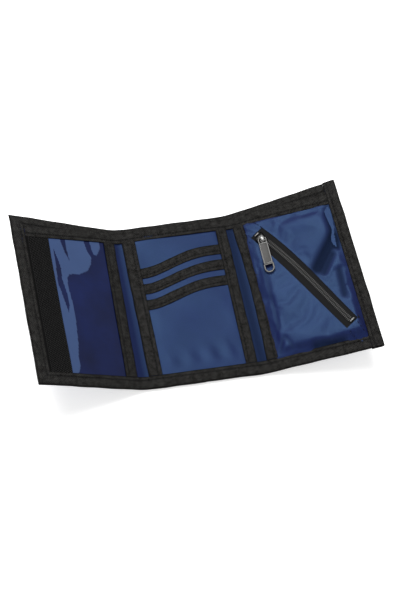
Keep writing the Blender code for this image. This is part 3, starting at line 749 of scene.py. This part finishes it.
window = {"near": layout["foldHalf"], "tapeWidth": 9.9, "lean": 3.0, "hookEnd": 77.0, "gap": 0.12,
          # where the film stands off the cloth behind it and is painted lighter, a painted reflection:
          # one big patch down the hook side and a small drop beside it, less two slivers where it clings
          "standsOffWithPaintedReflection": (((-103, 48), (-73.5, 52), (-71.5, 42), (-69, 37), (-70, 31.5), (-74, 25.5),
                         (-81, 22), (-89.5, 21), (-91.8, 18), (-92.6, 11), (-91.4, -4),
                         (-91.6, -16), (-93, -33), (-94.8, -43), (-94.8, -50), (-96.5, -54.5),
                         (-99.5, -57.5), (-103, -58)),
                        ((-68.3, 52), (-60, 52), (-59.6, 46.5), (-62, 42), (-64.4, 39.2), (-66.3, 39.8),
                         (-67.3, 43.5))),
          "clings": (((-93.2, 50), (-88.8, 50), (-88.6, 42), (-87.6, 32), (-90.2, 38)),
                     ((-99.2, 40), (-97, 32.5), (-95.6, 25), (-96.3, 16), (-94.6, 5), (-94.6, -5),
                      (-96.2, -10), (-97.6, -2), (-99.2, 7), (-100.5, 12), (-99.8, 20), (-99.3, 29)))}


def leftX(fromFold):
    return -(foldX + fromFold)


def insideOutline(x, y, outline):
    # which points lie in a closed outline of corners
    inside = np.zeros(len(x), bool)
    for (ax, ay), (bx, by) in zip(outline, outline[1:] + outline[:1]):
        crosses = (ay > y) != (by > y)
        with np.errstate(divide="ignore", invalid="ignore"):
            at = (bx - ax) * (y - ay) / (by - ay) + ax
        inside ^= crosses & (x < at)
    return inside


def filmRipple(x, y):
    return innerLift(x, y) + 0.18 * np.sin(x / 10.0 + y / 21.0) * np.sin(y / 16.0 + 0.4)


def makeFilm():
    piece, s, t = clothGrid("windowFilm", 110, 220)
    near, far, low = window["near"] + cover, layout["windowEnd"], -halfHeight + cover
    x = leftX(near + (far - near) * s)
    y = low + (mouthY(x) - cover - low) * t
    airGap = np.zeros(len(x), bool)
    for outline in window["standsOffWithPaintedReflection"]:
        airGap |= insideOutline(x, y, outline)
    for outline in window["clings"]:
        airGap &= ~insideOutline(x, y, outline)
    # the film is lifted a little where it stands off, and marked to be painted lighter there as a
    # painted reflection
    shapeSheet(piece, x, y, levels["first"] + filmRipple(x, y) + window["gap"] * airGap, "film",
               thick["film"], airGap=airGap)
    settle(piece, "left_panel", ("window_film",), sheet=((55.5, 123.0), "laid"))


makeFilm()
innerTop = sideTop - 0.2
tape, size = makeTape("windowTape", (leftX(window["near"] + window["lean"]), sideLow),
                      (leftX(window["near"]), innerTop), (-1, 0), window["tapeWidth"], 2.85, 3.05,
                      rearLeg=False, lift=innerLift, seed=61)
settle(tape, "left_panel", ("window_binding",), sheet=(size, "laid"))


def makeHookStrip():
    strip = {"start": layout["windowEnd"] + 0.2, "end": window["hookEnd"], "base": 0.45,
             "margin": 1.0, "pitch": 1.25, "slant": 0.42, "scatter": 0.06, "turn": 0.9,
             "turnScatter": 0.25, "height": 1.15}
    piece, s, t = clothGrid("hookStrip", 14, 70)
    x = leftX(strip["start"] + (strip["end"] - strip["start"]) * s)
    low = -halfHeight + tapeWidth - strip["margin"]
    y = low + (mouthY(x) - tapeWidth + strip["margin"] - low) * t
    level = lambda x, y: (levels["hook"] + strip["base"] / 2 + innerLift(x, y)
                          + 0.1 * np.sin(y / 9.0))
    shapeSheet(piece, x, y, level(x, y), "hookBase", strip["base"])
    places = []
    for row in range(int((strip["end"] - strip["start"] - strip["margin"]) / strip["pitch"])):
        hookX = leftX(strip["start"] + strip["margin"] + row * strip["pitch"])
        hookY = low + 0.8 + (row * strip["slant"] % 1.0) * strip["pitch"]
        while hookY < mouthY(hookX) - tapeWidth:
            x, y = (value + chance.uniform(-strip["scatter"], strip["scatter"])
                    for value in (hookX, hookY))
            turn = strip["turn"] + chance.uniform(-strip["turnScatter"], strip["turnScatter"])
            places.append(((x, y, level(x, y) + strip["base"] / 2 - 0.05),
                           ((math.cos(turn), math.sin(turn), 0), (-math.sin(turn), math.cos(turn), 0),
                            (0.25, 0.1, strip["height"]))))
            hookY += strip["pitch"]
    joinTo(piece, [copies("hooks", archOne, places, "hooks")])
    settle(piece, "left_panel", ("hook_strip",))


makeHookStrip()
print("window and hook strip made")


# ---- coin pocket on the right panel

pocket = {"near": layout["foldHalf"] + 8.6, "far": 76.8, "tuck": 3.0, "borders": (6.0, 4.5, 6.0, 6.5),
          "brim": 4.6, "cell": 1.3, "puff": 1.8, "flat": (72.0, 112.0), "area": 3900.0,
          "zipStart": (19.0, 23.8), "zipEnd": (69.3, 110.6), "zipHalf": 5.0,
          "zipPlaces": (0, 18, 33, 48, 63, 78, 93, 100),
          "coilAside": (0.5, 1.8, 2.4, 2.2, 1.3, 0.4, -0.3, -0.6),
          "upperAside": (6.9, 7.7, 8.1, 8.0, 6.6, 5.5, 4.7, 4.4),
          "lowerAside": (-4.8, -4.3, -4.2, -4.9, -5.4, -5.9, -6.5, -6.8),
          # folds pressed into the puffed cloth, and painted darker there as painted shade: from, to,
          # half width, depth
          "folds": (((118.5, 46), (118, 12), 2.0, 0.9), ((117, 40), (116.5, 14), 2.6, 1.5),
                    ((115.5, 20), (99, 1), 4.6, 2.6), ((113, 8), (103, -4), 2.2, 1.1),
                    ((114, -5), (112.5, -24), 2.6, 1.3), ((83, -55), (103, -56.5), 2.8, 1.6),
                    ((62, 16), (60.5, -36), 1.5, 0.55), ((57, -54), (61, -45), 1.1, 0.7),
                    ((67, -52), (63, -43), 1.0, 0.6), ((108, -46), (115, -54), 1.4, 0.9)),
          # seams past the zip's ends: from, to
          "seams": {"TopUpper": ((68, 44), (63, 50.5)), "TopLower": ((57, 34), (53.5, 40)),
                    "EndUpper": ((113.6, -42.5), (118, -54)),
                    "EndLower": ((107.5, -50), (110.5, -56))}, "seamRise": 0.55}
zipStart, zipEnd = (np.array((foldX + pocket[key][0], halfHeight - pocket[key][1]))
                    for key in ("zipStart", "zipEnd"))
zipLength = float(np.linalg.norm(zipEnd - zipStart))
zipAlong = (zipEnd - zipStart) / zipLength
zipAcross = np.array((-zipAlong[1], zipAlong[0]))      # towards the free top corner


def zipBow(distance):      # the sewn coil wanders a little either side of its straight line
    return through(np.clip(distance, -1.0, zipLength + 1.0), pocket["zipPlaces"],
                   pocket["coilAside"], 3)


def windowEdge(distance, upper):      # the cloth's two edges beside the coil
    return through(np.clip(distance, -9.0, zipLength + 9.0), pocket["zipPlaces"],
                   pocket["upperAside" if upper else "lowerAside"], 3)


def zipSpot(distance, offset):
    distance = np.asarray(distance, float)
    aside = offset + zipBow(distance)
    return (zipStart[0] + zipAlong[0] * distance + zipAcross[0] * aside,
            zipStart[1] + zipAlong[1] * distance + zipAcross[1] * aside)


def fromZip(x, y):      # distance along the zip's straight line, and across it
    dx, dy = x - zipStart[0], y - zipStart[1]
    return dx * zipAlong[0] + dy * zipAlong[1], dx * zipAcross[0] + dy * zipAcross[1]


def backToPlane(x, y):
    # lifts a point of the twisted panel to the plane that the slider runs in
    return -np.tan(twistAt(x, y)) * (np.abs(x) - foldX)


def pocketHeight(x, y):
    # the pocket's cloth over its flange, pinned at its border and at the zip
    fromFold = x - foldX
    top = mouthY(x) - tapeWidth
    sides = (fromFold - pocket["near"], pocket["far"] - fromFold, y + halfHeight - tapeWidth, top - y)
    edge = np.minimum.reduce(sides)
    share = ease(np.minimum.reduce([side / border for side, border in zip(sides, pocket["borders"])]))
    along, across = fromZip(x, y)
    upper = across - windowEdge(along, True)
    lower = windowEdge(along, False) - across
    hill = np.where(upper > 0, ease(upper / 34.0), 0.6 * ease(lower / 34.0))
    raisedTo = levels["pocketTop"] + backToPlane(x, y) + pocket["puff"] * hill * ease(edge / 9.0)
    brim = levels["flange"] + (pocket["brim"] - levels["flange"]) * ease((edge + 0.9) / 0.9)
    height = brim + (raisedTo - brim) * share      # it leaves its tapes level with their upper side
    clear = ease((np.maximum(upper, lower) - 0.5) / 5.0)      # no fold lifts the cloth off the zip
    for start, end, width, depth in pocket["folds"]:
        height = height - clear * depth * foldBell(x, y, start, end, width)
    return np.maximum(height, levels["flange"] - 0.1 + backToPlane(x, y) * share)


def foldBell(x, y, start, end, width):      # one along a fold's line, falling away beside it
    dx, dy = end[0] - start[0], end[1] - start[1]
    share = np.clip(((x - start[0]) * dx + (y - start[1]) * dy) / (dx * dx + dy * dy), 0.0, 1.0)
    return bell(np.hypot(x - start[0] - share * dx, y - start[1] - share * dy), width)


# painted shade: how much darker the pocket cloth is painted along each fold
def foldShade(x, y):
    return sum(depth / 1.7 * foldBell(x + 0.5, y, start, end, width * 0.9)
               for start, end, width, depth in pocket["folds"])


def cutSheet(piece, distance, offset, normal):
    # cuts a flat sheet at a place along and across the zip, and drops what is behind the cut
    spot = zipStart + zipAlong * distance + zipAcross * offset
    edit(piece)
    bpy.ops.mesh.bisect(plane_co=(*spot * mm, 0), plane_no=(*normal, 0), clear_inner=True)
    leave()


def pocketSheet(name):
    tuck = pocket["tuck"]
    across = pocket["far"] - pocket["near"] + 2 * tuck
    piece, s, t = clothGrid(name, int(across / pocket["cell"]), int(112 / pocket["cell"]))
    x = foldX + pocket["near"] - tuck + across * s
    low = -halfHeight + tapeWidth - tuck
    y = low + (mouthY(x) - tapeWidth + tuck - low) * t
    writeSpots(piece, np.column_stack((x, y, 0 * x)) * mm)
    turnUp(piece)
    return piece


def bendToZip(spots, upper):
    # a straight cut follows the cloth's bowed edge beside the zip
    along, across = fromZip(spots[:, 0], spots[:, 1])
    cut = pocket["zipHalf"] * (1 if upper else -1)
    shift = (windowEdge(along, upper) - cut) * (1.0 - ease(np.abs(across - cut) / 26.0))
    spots[:, :2] += shift[:, None] * zipAcross
    return spots


puffing = {"bending": 0.8, "pressure": 0.9, "slack": 0.007, "frames": 18, "cap": 2.5, "pinned": 1.6}


def puffOut(piece, upper):
    # the sewn cloth is a little longer than its place, so it puffs and wrinkles
    before = readSpots(piece) / mm
    along, across = fromZip(before[:, 0], before[:, 1])
    off = (across - windowEdge(along, upper)) * (1 if upper else -1)
    fromFold, y = before[:, 0] - foldX, before[:, 1]
    held = ((fromFold < pocket["near"] + 0.2) | (fromFold > pocket["far"] - 0.2)
            | (y < -halfHeight + tapeWidth + 0.3) | (y > mouthY(before[:, 0]) - tapeWidth - 0.3)
            | (off < puffing["pinned"]))
    group = piece.vertex_groups.new(name="sewn")
    group.add([int(i) for i in np.nonzero(held)[0]], 1.0, "REPLACE")
    cloth = piece.modifiers.new("cloth", "CLOTH")
    for key, value in {"quality": 6, "mass": 0.15, "compression_stiffness": 12,
                       "tension_stiffness": 12, "shear_stiffness": 6,
                       "bending_stiffness": puffing["bending"], "vertex_group_mass": "sewn",
                       "use_pressure": True, "uniform_pressure_force": puffing["pressure"],
                       "shrink_min": -puffing["slack"], "shrink_max": -puffing["slack"]}.items():
        setattr(cloth.settings, key, value)
    cloth.settings.effector_weights.gravity = 0.0
    cloth.collision_settings.use_collision = False
    scene = bpy.context.scene
    for clock in (cloth.point_cache, scene):
        clock.frame_start, clock.frame_end = 1, puffing["frames"]
    for frameNumber in range(1, puffing["frames"] + 1):
        scene.frame_set(frameNumber)
    applyAll(piece)
    scene.frame_set(1)
    moved = readSpots(piece) / mm - before
    far = np.linalg.norm(moved, axis=1)
    capped = moved * np.minimum(1.0, puffing["cap"] / np.maximum(far, 1e-6))[:, None]
    writeSpots(piece, (before + capped) * mm)
    piece.vertex_groups.clear()


for name, above in (("Upper", True), ("Lower", False)):
    piece = pocketSheet("coinPocket" + name)
    way = 1 if above else -1
    cutSheet(piece, 0.0, way * pocket["zipHalf"], way * zipAcross)
    x, y, _ = bendToZip(readSpots(piece) / mm, above).T
    writeSpots(piece, np.column_stack((x, y, pocketHeight(x, y))) * mm)
    layPattern(piece, x, y)
    # painted shade along the pocket's folds
    shadeSpots(piece, "crease", foldShade(x, y))
    puffOut(piece, above)
    piece.data.materials.append(finishes["nylon"])
    thicken(piece, thick["front"])
    settle(piece, "right_panel", (f"coin_pocket_{name.lower()}",),
           sheet=(pocket["flat"], "stretched", pocket["area"]))
for name, (start, end) in pocket["seams"].items():
    seam = stitchLine("seam" + name, start, end, lambda x, y: pocketHeight(x, y) + pocket["seamRise"],
                      "blueThread")
    settle(seam, "right_panel")
print("coin pocket made")

for name, way, distance in (("Top", -1, 0.0), ("Bottom", 1, zipLength)):
    piece = pocketSheet("zipEndTab" + name)
    cutSheet(piece, 0.0, -pocket["zipHalf"], zipAcross)
    cutSheet(piece, 0.0, pocket["zipHalf"], -zipAcross)
    cutSheet(piece, distance, 0.0, way * zipAlong)
    spots = readSpots(piece) / mm
    along, off = fromZip(spots[:, 0], spots[:, 1])
    low, high = windowEdge(along, False), windowEdge(along, True)
    shift = low + (high - low) * (off / pocket["zipHalf"] + 1.0) / 2 - off
    spots[:, :2] += shift[:, None] * zipAcross
    x, y, _ = spots.T
    past = way * (along - distance)
    folds = 0.35 * np.sin(off * 1.5 + past * 0.5) * ease(past / 3.0)
    shapeSheet(piece, x, y, pocketHeight(x, y) + 0.05 + folds, "nylon", thick["front"], (x + 2.0, y))
    settle(piece, "right_panel", (f"zip_end_tab_{name.lower()}",))

piece, s, t = clothGrid("coinPocketBack", 42, 62)
near, far = foldX + layout["foldHalf"] + cover, panelEnd - cover
x = near + s * (far - near)
y = -halfHeight + cover + t * (mouthY(x) + halfHeight - 2 * cover)
shapeSheet(piece, x, y, levels["first"] + innerLift(x, y), "nylon", thick["pocket"], (x, y + 1.3))
settle(piece, "right_panel", ("coin_pocket_back",), sheet=((82.0, 123.0), "laid"))

pocketTape = {"x": foldX + layout["foldHalf"], "width": 8.6, "low": 2.85, "high": 3.9, "bow": -1.7}
tape, size = makeTape("coinPocketTape", (pocketTape["x"], sideLow), (pocketTape["x"], innerTop),
                      (1, 0), pocketTape["width"], pocketTape["low"], pocketTape["high"],
                      rearLeg=False, lift=innerLift, seed=71,
                      bow=lambda share: pocketTape["bow"] * np.sin(math.pi * share))
settle(tape, "right_panel", ("coin_pocket_binding",), sheet=(size, "laid"))


def makeLoopStrip():
    strip = {"start": 12.5, "width": 20.0, "base": 0.5, "loops": 1500, "margin": 0.6, "lean": 0.6}
    piece, s, t = clothGrid("loopStrip", 24, 120)
    top = halfHeight - tapeWidth - 0.2
    x = foldX + strip["start"] + strip["width"] * s
    y = (t - 0.5) * 2 * top
    z = 0.15 + 0.12 * np.sin(x * 3.1) * np.sin(y * 2.7) + shellSag(x, y)
    shapeSheet(piece, x, y, z, "loops", strip["base"])
    places = []
    for _ in range(strip["loops"]):
        x = foldX + strip["start"] + chance.uniform(strip["margin"], strip["width"] - strip["margin"])
        y = chance.uniform(-top + strip["margin"], top - strip["margin"])
        turn, lean = chance.uniform(0, 2 * math.pi), chance.uniform(-strip["lean"], strip["lean"])
        places.append(((x, y, shellSag(x, y) - 0.02),
                       ((math.cos(turn), math.sin(turn), 0), (math.sin(turn), -math.cos(turn), 0),
                        (lean, 0.3 * lean, -1.2))))
    joinTo(piece, [copies("loops", archOne, places, "loops")])
    settle(piece, "right_panel", ("loop_strip",))


makeLoopStrip()


# ---- zip

zipLook = {"coilStart": 2.1, "coilEnd": 1.0, "pitch": 1.25, "aside": 0.98, "past": 0.6, "tuck": 1.4,
           "tooth": (1.15, 1.9, 2.1)}      # a stitch's shape, scaled across, along and up


for name, sign in (("Upper", 1.0), ("Lower", -1.0)):
    piece, s, t = clothGrid("zipTape" + name, 70, 8)
    run = -zipLook["past"] + (zipLength + 2 * zipLook["past"]) * s
    edge = np.abs(windowEdge(run, sign > 0) - zipBow(run)) + zipLook["tuck"]
    offset = sign * (0.1 + (edge - 0.1) * t)
    x, y = zipSpot(run, offset)
    z = levels["zipTape"] + backToPlane(x, y) + 0.08 * np.sin(run / 3.0 + sign)
    shapeSheet(piece, x, y, z, "zipTape", thick["zipTape"], (offset, run))
    settle(piece, "right_panel", (f"zip_tape_{name.lower()}",))

    count = int((zipLength - zipLook["coilStart"] - zipLook["coilEnd"]) / zipLook["pitch"])
    run = zipLook["coilStart"] + (np.arange(count) + (0.5 if sign > 0 else 0.0)) * zipLook["pitch"]
    x, y = zipSpot(run, sign * zipLook["aside"])
    axes = np.array(((*zipAcross, 0), (*zipAlong, 0), (0, 0, 1))) * np.array([zipLook["tooth"]]).T
    spots = np.column_stack((x, y, levels["coil"] + backToPlane(x, y)))
    piece = copies("zipCoil" + name, stitchOne, [(spot, axes) for spot in spots], "coil")
    settle(piece, "right_panel", (f"zip_coil_{name.lower()}",), degrees=80)
print("zip made")


# ---- metal pieces, each made about the origin and then stood on the zip

def pickNone(piece):
    edit(piece)
    bpy.ops.mesh.select_all(action="DESELECT")
    leave()


def pickCorners(piece, wanted):      # picks corners, and the edges and faces between them
    for corner in piece.data.vertices:
        corner.select = wanted(corner.co)
    for item in (*piece.data.edges, *piece.data.polygons):
        item.select = all(piece.data.vertices[i].select for i in item.vertices)


def block3d(name, size, centre=(0, 0, 0), taper=1.0):
    # a box in mm; taper narrows its far end along +Y
    bpy.ops.mesh.primitive_cube_add(size=1.0)
    piece = bpy.context.object
    piece.name = piece.data.name = name
    edit(piece)
    bpy.ops.transform.resize(value=tuple(v * mm for v in size), center_override=(0, 0, 0))
    leave()
    pickCorners(piece, lambda place: place.y > 0)
    bpy.ops.object.mode_set(mode="EDIT")
    bpy.ops.transform.resize(value=(taper, 1, 1), center_override=(0, 0, 0))
    bpy.ops.mesh.select_all(action="SELECT")
    bpy.ops.transform.translate(value=tuple(v * mm for v in centre))
    leave()
    return piece


def soften(piece, width, segments=3, degrees=30.0):
    rounded = piece.modifiers.new("rounded", "BEVEL")
    rounded.width = width * mm
    rounded.segments = segments
    rounded.limit_method = "ANGLE"
    rounded.angle_limit = math.radians(degrees)
    applyAll(piece)


def standAt(piece, run, height, turn=None):
    # moves a piece made about the origin to a place on the zip; +Y goes along the zip or turn
    x, y = zipStart + zipAlong * run
    forward = np.array(zipAlong if turn is None else turn, float)
    spots = readSpots(piece) / mm
    flatX = x + spots[:, 0] * forward[1] + spots[:, 1] * forward[0]
    flatY = y - spots[:, 0] * forward[0] + spots[:, 1] * forward[1]
    angle = math.radians(layout["rightRaise"])      # the slider's plane isn't twisted
    reach, rise = flatX - foldX, spots[:, 2] + height - layout["bendLevel"]
    newX = foldX + reach * math.cos(angle) - rise * math.sin(angle)
    newZ = layout["bendLevel"] + reach * math.sin(angle) + rise * math.cos(angle)
    writeSpots(piece, np.column_stack((newX, flatY, newZ)) * mm)


def mount(piece, body, node, run, height, finish="metal", turn=None, degrees=40):
    standAt(piece, run, height, turn)
    piece.data.materials.append(finishes[finish])
    settle(piece, body, (node,), raised=False, degrees=degrees)


slider = {"centre": 7.0, "length": 9.0, "head": 7.6, "tail": 6.3, "corner": 1.9, "level": 7.15,
          "thick": 0.75, "backThick": 0.6, "rail": (0.7, 6.4, 1.5), "railAt": (3.25, -0.2, -0.9),
          "crownLevel": 7.6, "pullLevel": 8.2}


def makeSliderPlate(name, thickness):
    piece = block3d(name, (slider["head"], slider["length"], thickness),
                    taper=slider["tail"] / slider["head"])
    pickNone(piece)
    for line in piece.data.edges:
        a, b = (piece.data.vertices[i].co for i in line.vertices)
        line.select = abs(a.z - b.z) > 0.5 * thickness * mm
    bpy.ops.object.mode_set(mode="EDIT")
    bpy.ops.mesh.select_mode(type="EDGE")
    bpy.ops.mesh.bevel(offset=slider["corner"] * mm, segments=5)
    leave()
    soften(piece, 0.22)
    return piece


plate = makeSliderPlate("sliderBody", slider["thick"])
rails = []
for sign in (-1, 1):
    aside, forward, drop = slider["railAt"]
    rails.append(block3d("sliderRail", slider["rail"], (sign * aside, forward, drop)))
    soften(rails[-1], 0.18, 2)
joinTo(plate, rails)
mount(plate, "zip_slider", "slider_body", slider["centre"], slider["level"])
mount(makeSliderPlate("sliderBackPlate", slider["backThick"]), "zip_slider", "slider_back_plate",
      slider["centre"], levels["back"])


def makeCrown():
    crown = {"reach": 2.7, "wire": 0.62, "rise": 0.52, "broad": 1.7, "foot": -0.2}
    bpy.ops.mesh.primitive_torus_add(major_segments=32, minor_segments=10,
                                     major_radius=crown["reach"] * mm, minor_radius=crown["wire"] * mm)
    piece = bpy.context.object
    piece.name = piece.data.name = "sliderCrown"
    edit(piece)
    bpy.ops.transform.rotate(value=math.pi / 2, orient_axis="Y", center_override=(0, 0, 0))
    bpy.ops.transform.resize(value=(crown["broad"], 1.0, crown["rise"]), center_override=(0, 0, 0))
    bpy.ops.mesh.bisect(plane_co=(0, 0, crown["foot"] * mm), plane_no=(0, 0, 1), clear_inner=True,
                        use_fill=True)
    leave()
    return piece


mount(makeCrown(), "zip_slider", "slider_crown", slider["centre"], slider["crownLevel"], "polished",
      degrees=60)


def makePull():
    pull = {"width": 6.5, "armReach": 4.3, "plateEnd": 20.5, "length": 28.5, "thick": 1.15,
            "bar": 0.42, "arm": 0.95, "loopHalf": 3.85, "wire": 1.2, "shoulders": (3.6, 2.5)}
    plate = block3d("pullTab", (pull["width"], pull["plateEnd"] - pull["armReach"] + 1.0, pull["thick"]),
                    (0, -(pull["plateEnd"] + pull["armReach"]) / 2, 0))
    pickNone(plate)
    for face in plate.data.polygons:
        face.select = abs(face.normal.z) > 0.9
    bpy.ops.object.mode_set(mode="EDIT")
    bpy.ops.mesh.select_mode(type="FACE")
    bpy.ops.mesh.inset(thickness=0.7 * mm, use_individual=True)
    bpy.ops.mesh.inset(thickness=0.15 * mm, depth=-0.12 * mm, use_individual=True)
    leave()
    soften(plate, 0.22)
    bpy.ops.mesh.primitive_cylinder_add(vertices=16, radius=pull["bar"] * mm,
                                        depth=(pull["width"] - 0.5) * mm, rotation=(0, math.pi / 2, 0))
    parts = [bpy.context.object]
    bpy.ops.object.transform_apply(location=False, rotation=True, scale=True)
    for sign in (-1, 1):
        parts.append(block3d("pullArm", (pull["arm"], pull["armReach"] + 1.0, pull["arm"]),
                             (sign * (pull["width"] / 2 - 0.5), -pull["armReach"] / 2, 0)))
        soften(parts[-1], 0.3)
    bpy.ops.mesh.primitive_circle_add(vertices=32, radius=pull["loopHalf"] * mm, fill_type="NGON")
    ring = bpy.context.object
    edit(ring)
    bpy.ops.mesh.inset(thickness=pull["wire"] * mm)
    bpy.ops.mesh.delete(type="FACE")
    leave()
    pickCorners(ring, lambda place: place.y > 0.2 * mm)
    for corner in ring.data.vertices:      # square shoulders where the loop meets the plate
        if corner.select:
            inner = int(corner.co.length <= (pull["loopHalf"] - 0.3) * mm)
            angle = math.atan2(corner.co.y, corner.co.x)
            reach = (pull["loopHalf"] - inner * pull["wire"]) * mm
            corner.co.x = reach * max(-1.0, min(1.0, 1.6 * math.cos(angle)))
            corner.co.y = pull["shoulders"][inner] * mm * min(1.0, 1.5 * math.sin(angle))
    edit(ring)
    bpy.ops.mesh.extrude_region_move(
        TRANSFORM_OT_translate={"value": (0, 0, pull["thick"] * 0.9 * mm)})
    bpy.ops.mesh.select_all(action="SELECT")
    bpy.ops.mesh.normals_make_consistent(inside=False)
    bpy.ops.transform.translate(value=(0, (pull["loopHalf"] - pull["length"]) * mm,
                                       -pull["thick"] * 0.45 * mm))
    leave()
    soften(ring, 0.28, 3, 45.0)
    joinTo(plate, [*parts, ring])
    return plate


mount(makePull(), "zip_pull", "pull_tab", slider["centre"], slider["pullLevel"], turn=(0.0, 1.0))

stops = {"size": (4.4, 1.5, 1.3), "zipTopStop": ("zip_top_stop", 1.1),
         "zipBottomStop": ("zip_bottom_stop", zipLength - 0.9)}
for name in ("zipTopStop", "zipBottomStop"):
    node, run = stops[name]
    stop = block3d(name, stops["size"])
    soften(stop, 0.4)
    mount(stop, "right_panel", node, run, levels["coil"])
print("metal pieces made")


# ---- floor, light and camera

def makeStudio():
    studio = {"floor": (0.93, 0.93, 0.925), "glow": 0.52, "sky": 0.40,
              "key": {"place": (-0.16, 0.50, 1.08), "size": 0.80, "power": 15.0},
              "fill": {"place": (-0.9, -0.5, 0.9), "size": 1.2, "power": 3.0}}
    bpy.ops.object.select_all(action="DESELECT")
    bpy.ops.mesh.primitive_plane_add(size=6.0, location=(0, 0, -0.0002))
    floor = bpy.context.object
    floor.name = "floor"
    paint = Paint("floorPaper", studio["floor"], 0.9, Specular_IOR_Level=0.1,
                  Emission_Color=(1, 1, 1, 1), Emission_Strength=studio["glow"])
    floor.data.materials.append(paint.material)
    world = bpy.data.worlds.new("studio")
    world.use_nodes = True
    world.node_tree.nodes["Background"].inputs["Color"].default_value = (1, 1, 1, 1)
    world.node_tree.nodes["Background"].inputs["Strength"].default_value = studio["sky"]
    bpy.context.scene.world = world
    bpy.context.scene.view_settings.view_transform = "Standard"
    for name in ("key", "fill"):
        light = bpy.data.lights.new(name, "AREA")
        light.size = studio[name]["size"]
        light.energy = studio[name]["power"]
        lamp = bpy.data.objects.new(name, light)
        bpy.context.scene.collection.objects.link(lamp)
        lamp.location = studio[name]["place"]
        lamp.rotation_euler = (-Vector(studio[name]["place"])).to_track_quat("-Z", "Y").to_euler()


def makeCamera():
    view = {"azimuth": -27.3, "elevation": 63.11, "roll": 17.06, "distance": 0.7211, "lens": 59.4,
            "shift": (0.0211, 0.0012)}
    azimuth, elevation, roll = (math.radians(view[key]) for key in ("azimuth", "elevation", "roll"))
    back = Vector((math.sin(azimuth) * math.cos(elevation), -math.cos(azimuth) * math.cos(elevation),
                   math.sin(elevation)))
    right = (-back).cross(Vector((0, 0, 1))).normalized()
    up = right.cross(-back)
    tiltedRight = right * math.cos(roll) + up * math.sin(roll)
    tiltedUp = up * math.cos(roll) - right * math.sin(roll)
    data = bpy.data.cameras.new("camera")
    data.lens = view["lens"]
    data.shift_x, data.shift_y = view["shift"]
    camera = bpy.data.objects.new("camera", data)
    bpy.context.scene.collection.objects.link(camera)
    camera.matrix_world = Matrix.Translation(back * view["distance"]) @ Matrix(
        (tiltedRight, tiltedUp, back)).transposed().to_4x4()
    bpy.context.scene.camera = camera


makeStudio()
makeCamera()
print("studio made")
